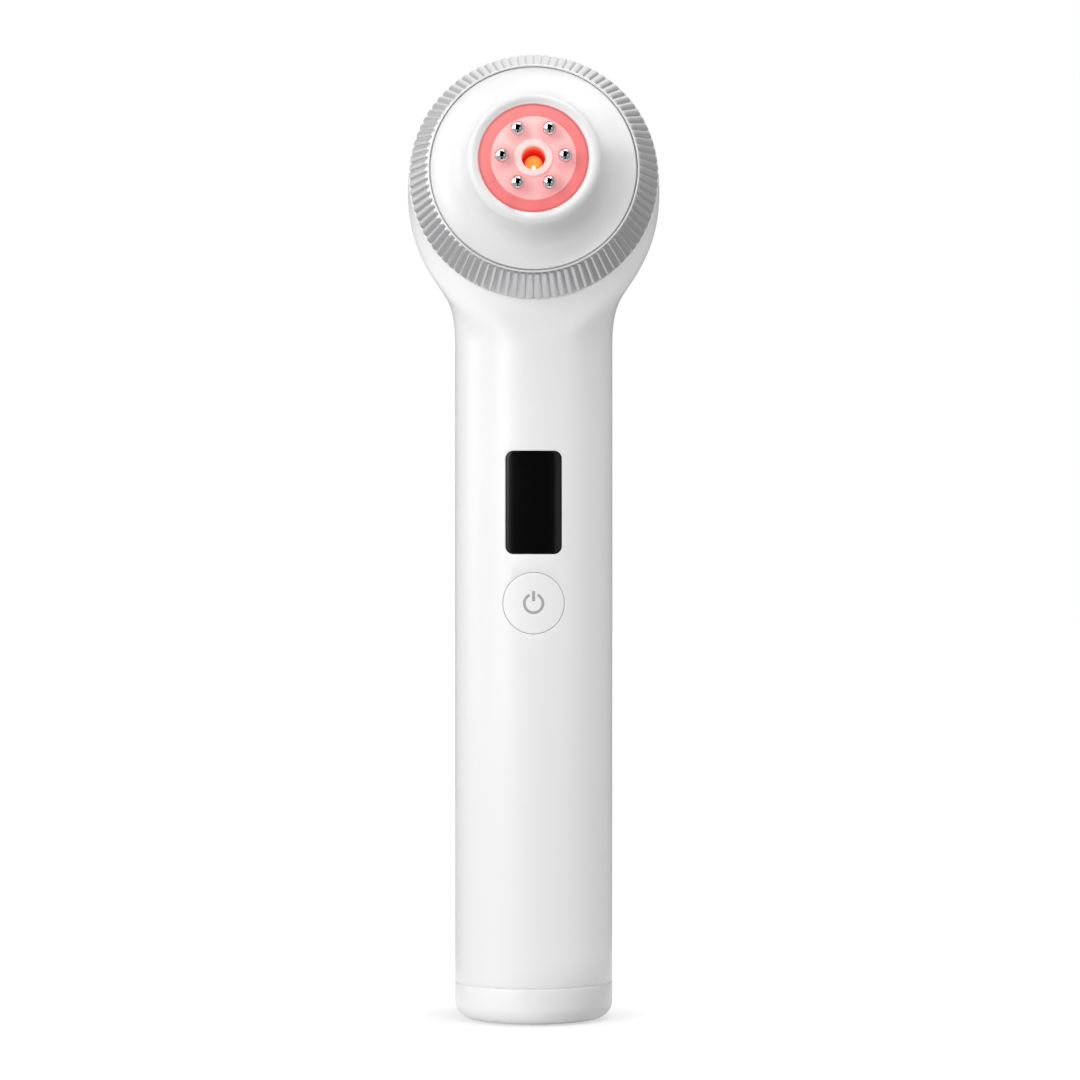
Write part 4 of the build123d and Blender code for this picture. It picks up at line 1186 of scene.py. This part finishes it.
class TONER_OT_inside(bpy.types.Operator):
    """Materials of the pieces inside the shells"""
    bl_idname = "toner.inside"
    bl_label = "Inner Pieces"

    def execute(self, context):
        dress(
            brushed("bright_steel", (0.62, 0.62, 0.63), 0.3), "cap_screws", "head_screws",
            "frame_screws", "board_screws", "charge_socket", "motor_can", "motor_shaft",
            "switch_dome")
        dress(
            moulded("natural_plastic", (0.66, 0.66, 0.64), 0.5), "head_frame", "electrode_carrier",
            "inner_frame", "switch_plunger")
        dress(
            moulded("chip_black", (0.025, 0.025, 0.027), 0.45), "board_components", "switch_body",
            "socket_tongue")
        dress(coated_board("board_green", (0.015, 0.13, 0.05)), "main_board", "charge_board")
        dress(metal("nickel_tab", (0.66, 0.64, 0.58), 0.25), "battery_tabs")
        dress(metal("sintered_weight", (0.35, 0.34, 0.33), 0.5), "eccentric_weight")
        dress(metal("gold_contact", (0.86, 0.60, 0.22), 0.2), "electrode_contacts")
        dress(brushed("rolled_aluminium", (0.74, 0.74, 0.75), 0.32), "heat_spreader")
        dress(wound_wire("copper_turns", (0.72, 0.33, 0.15)), "coil_winding")
        dress(moulded("sintered_core", (0.05, 0.05, 0.052), 0.6), "coil_core")
        dress(moulded("board_white", (0.78, 0.78, 0.76), 0.4), "led_board")
        dress(moulded("soft_washer", (0.4, 0.4, 0.41), 0.65), "ring_seal")
        dress(moulded("rubber_sleeve", (0.06, 0.06, 0.065), 0.7), "motor_sleeve")
        dress(moulded("red_lamp", (0.85, 0.10, 0.06), 0.25), "ring_leds")
        dress(moulded("amber_film", (0.50, 0.20, 0.03), 0.3), "head_flex")
        dress(moulded("cell_wrap", (0.05, 0.16, 0.42), 0.3, coat=0.3), "battery_cell")
        dress(moulded("display_stack", (0.012, 0.012, 0.014), 0.3), "display_module")
        return {"FINISHED"}


# ---- stage
def panel(name, centre, width, height, facing):
    """A flat card in metres that faces a point."""
    bm = bmesh.new()
    bmesh.ops.create_grid(bm, x_segments=1, y_segments=1, size=0.5)
    turn = (Vector(facing) - Vector(centre)).to_track_quat("Z", "Y").to_matrix().to_4x4()
    matrix = Matrix.Translation(centre) @ turn @ Matrix.Diagonal((width, height, 1, 1))
    bmesh.ops.transform(bm, matrix=matrix, verts=bm.verts)
    card = stored(name, bm)
    return card


def grey_card(name, centre, width, height, facing, level):
    """A grey card that only shows in glossy surfaces."""
    card = panel(name, centre, width, height, facing)
    finish = Finish(name)
    glow = finish.node("ShaderNodeEmission", None, {"Color": (level, level, level, 1)})
    card.data.materials.append(finish.ended_by(glow))
    for way in ("camera", "diffuse", "shadow", "transmission", "volume_scatter"):
        setattr(card, "visible_" + way, False)


LAMPS = (
    ("key_lamp", (-0.66, -0.80, 0.53), 0.5, 0.9, 1.0),
    ("top_lamp", (0.232, -0.403, 1.117), 0.5, 0.5, 0.60),
    ("right_lamp", (0.843, 0.0, 0.827), 0.5, 0.5, 0.31),
    ("left_lamp", (-1.067, 0.188, 0.311), 0.5, 0.5, 0.18))
CARDS = (
    ("front_low_card", (-0.018, -0.30, 0.11), 0.392, 0.22, (-0.018, 0, 0.11), 0.0),
    ("front_high_card", (0.05, -0.30, 0.62), 0.66, 0.80, (0.05, 0, 0.62), 0.0),
    ("front_floor_card", (0.06, -0.17, 0.001), 0.44, 0.26, (0.06, -0.17, 1), 0.05),
    ("right_side_card", (0.60, -0.16, 0.35), 0.70, 1.0, (0, 0, 0.15), 0.27),
    ("right_back_card", (0.80, 0.50, 0.35), 1.1, 0.9, (0.80, 0, 0.35), 0.26),
    ("right_floor_card", (0.50, 0.12, 0.002), 0.90, 1.6, (0.50, 0.12, 1), 0.29),
    ("left_back_card", (-0.80, 0.50, 0.35), 1.1, 0.9, (-0.80, 0, 0.35), 0.46),
    ("back_card", (0.0, 0.50, 0.18), 0.50, 0.40, (0, 0, 0.18), 0.03),
    ("left_floor_card", (-0.52, 0.22, 0.002), 0.96, 1.3, (-0.52, 0.22, 1), 0.40))


class TONER_OT_stage(bpy.types.Operator):
    """Plain pale floor, soft lamps, grey cards and the camera"""
    bl_idname = "toner.stage"
    bl_label = "Studio"

    def execute(self, context):
        stage = context.scene.toner_stage
        scene = context.scene
        scene.view_settings.view_transform = "Standard"

        floor = panel("floor", (0, 0, -0.0002), 6.0, 6.0, (0, 0, 1))
        finish = Finish("pale_floor")
        matt = finish.node("ShaderNodeBsdfDiffuse", None, {"Color": (0.76, 0.76, 0.76, 1)})
        white = finish.node("ShaderNodeEmission", None, {"Color": (1, 1, 1, 1), "Strength": 1.16})
        across, deep, up = finish.split(finish.place())
        radial = finish.reach(across, deep)
        near = finish.step(radial, 0.012, 0.030)
        far = finish.step(radial, 0.04, 0.35)
        share = finish.seen() * (near * 0.33 + far * 0.14 + 0.52)
        both = finish.node("ShaderNodeMixShader", None, {0: share, 1: matt, 2: white})
        floor.data.materials.append(finish.ended_by(both))

        sky = Finish("surroundings", "worlds")
        level = sky.node("ShaderNodeMapRange", None, {"Value": sky.seen(), "To Min": stage.fill})
        glow = sky.node("ShaderNodeBackground", None, {"Color": (1, 1, 1, 1), "Strength": level})
        scene.world = sky.ended_by(glow, "ShaderNodeOutputWorld")

        for name, place, width, height, share in LAMPS:
            light = bpy.data.lights.new(name, "AREA")
            light.shape = "RECTANGLE"
            light.size = width
            light.size_y = height
            light.energy = stage.key_power * share
            lamp = placed(name, light)
            lamp.location = place
            aim = Vector((0, 0, 0.12)) - lamp.location
            lamp.rotation_euler = aim.to_track_quat("-Z", "Y").to_euler()
        for card in CARDS:
            grey_card(*card)

        camera = bpy.data.cameras.new("camera")
        camera.lens = stage.lens
        camera.sensor_width = 36.0
        camera.clip_start = 0.01
        view = placed("camera", camera)
        view.location = (stage.side_step, -stage.distance, stage.eye_height)
        view.rotation_euler = (pi / 2, 0, 0)
        scene.camera = view
        return {"FINISHED"}


class TONER_PT_panel(bpy.types.Panel):
    """Lists the pieces and their sizes"""
    bl_idname = "TONER_PT_panel"
    bl_label = "Facial Toning Device"
    bl_space_type = "VIEW_3D"
    bl_region_type = "UI"
    bl_category = "Toning Device"

    def draw(self, context):
        layout = self.layout
        for group in SETTINGS:
            box = layout.box()
            settings = getattr(context.scene, group)
            for name in settings.__annotations__:
                box.prop(settings, name)
        for operator in OPERATORS:
            layout.operator(operator.bl_idname)


SETTINGS = {
    "toner_housing": HousingSettings, "toner_head": HeadSettings, "toner_disc": DiscSettings,
    "toner_stage": StageSettings}
OPERATORS = (
    TONER_OT_housing, TONER_OT_base, TONER_OT_ring, TONER_OT_bell, TONER_OT_disc,
    TONER_OT_electrodes, TONER_OT_eye, TONER_OT_window, TONER_OT_button, TONER_OT_inside,
    TONER_OT_stage)
shared = {}


def register():
    for group in SETTINGS.values():
        bpy.utils.register_class(group)
    for name, group in SETTINGS.items():
        setattr(bpy.types.Scene, name, PointerProperty(type=group))
    for kind in (*OPERATORS, TONER_PT_panel):
        bpy.utils.register_class(kind)


def unregister():
    for kind in (TONER_PT_panel, *reversed(OPERATORS)):
        bpy.utils.unregister_class(kind)
    for name, group in SETTINGS.items():
        delattr(bpy.types.Scene, name)
        bpy.utils.unregister_class(group)


def main():
    register()
    shell_colour = bpy.context.scene.toner_housing.colour
    shared["shell"] = moulded("satin_shell", shell_colour, 0.4, 0.35, shell_painted_light_and_shade)
    shared["copies"] = copies_tree()
    for operator in OPERATORS:
        getattr(bpy.ops.toner, operator.bl_idname.removeprefix("toner."))()


if __name__ == "__main__":
    main()
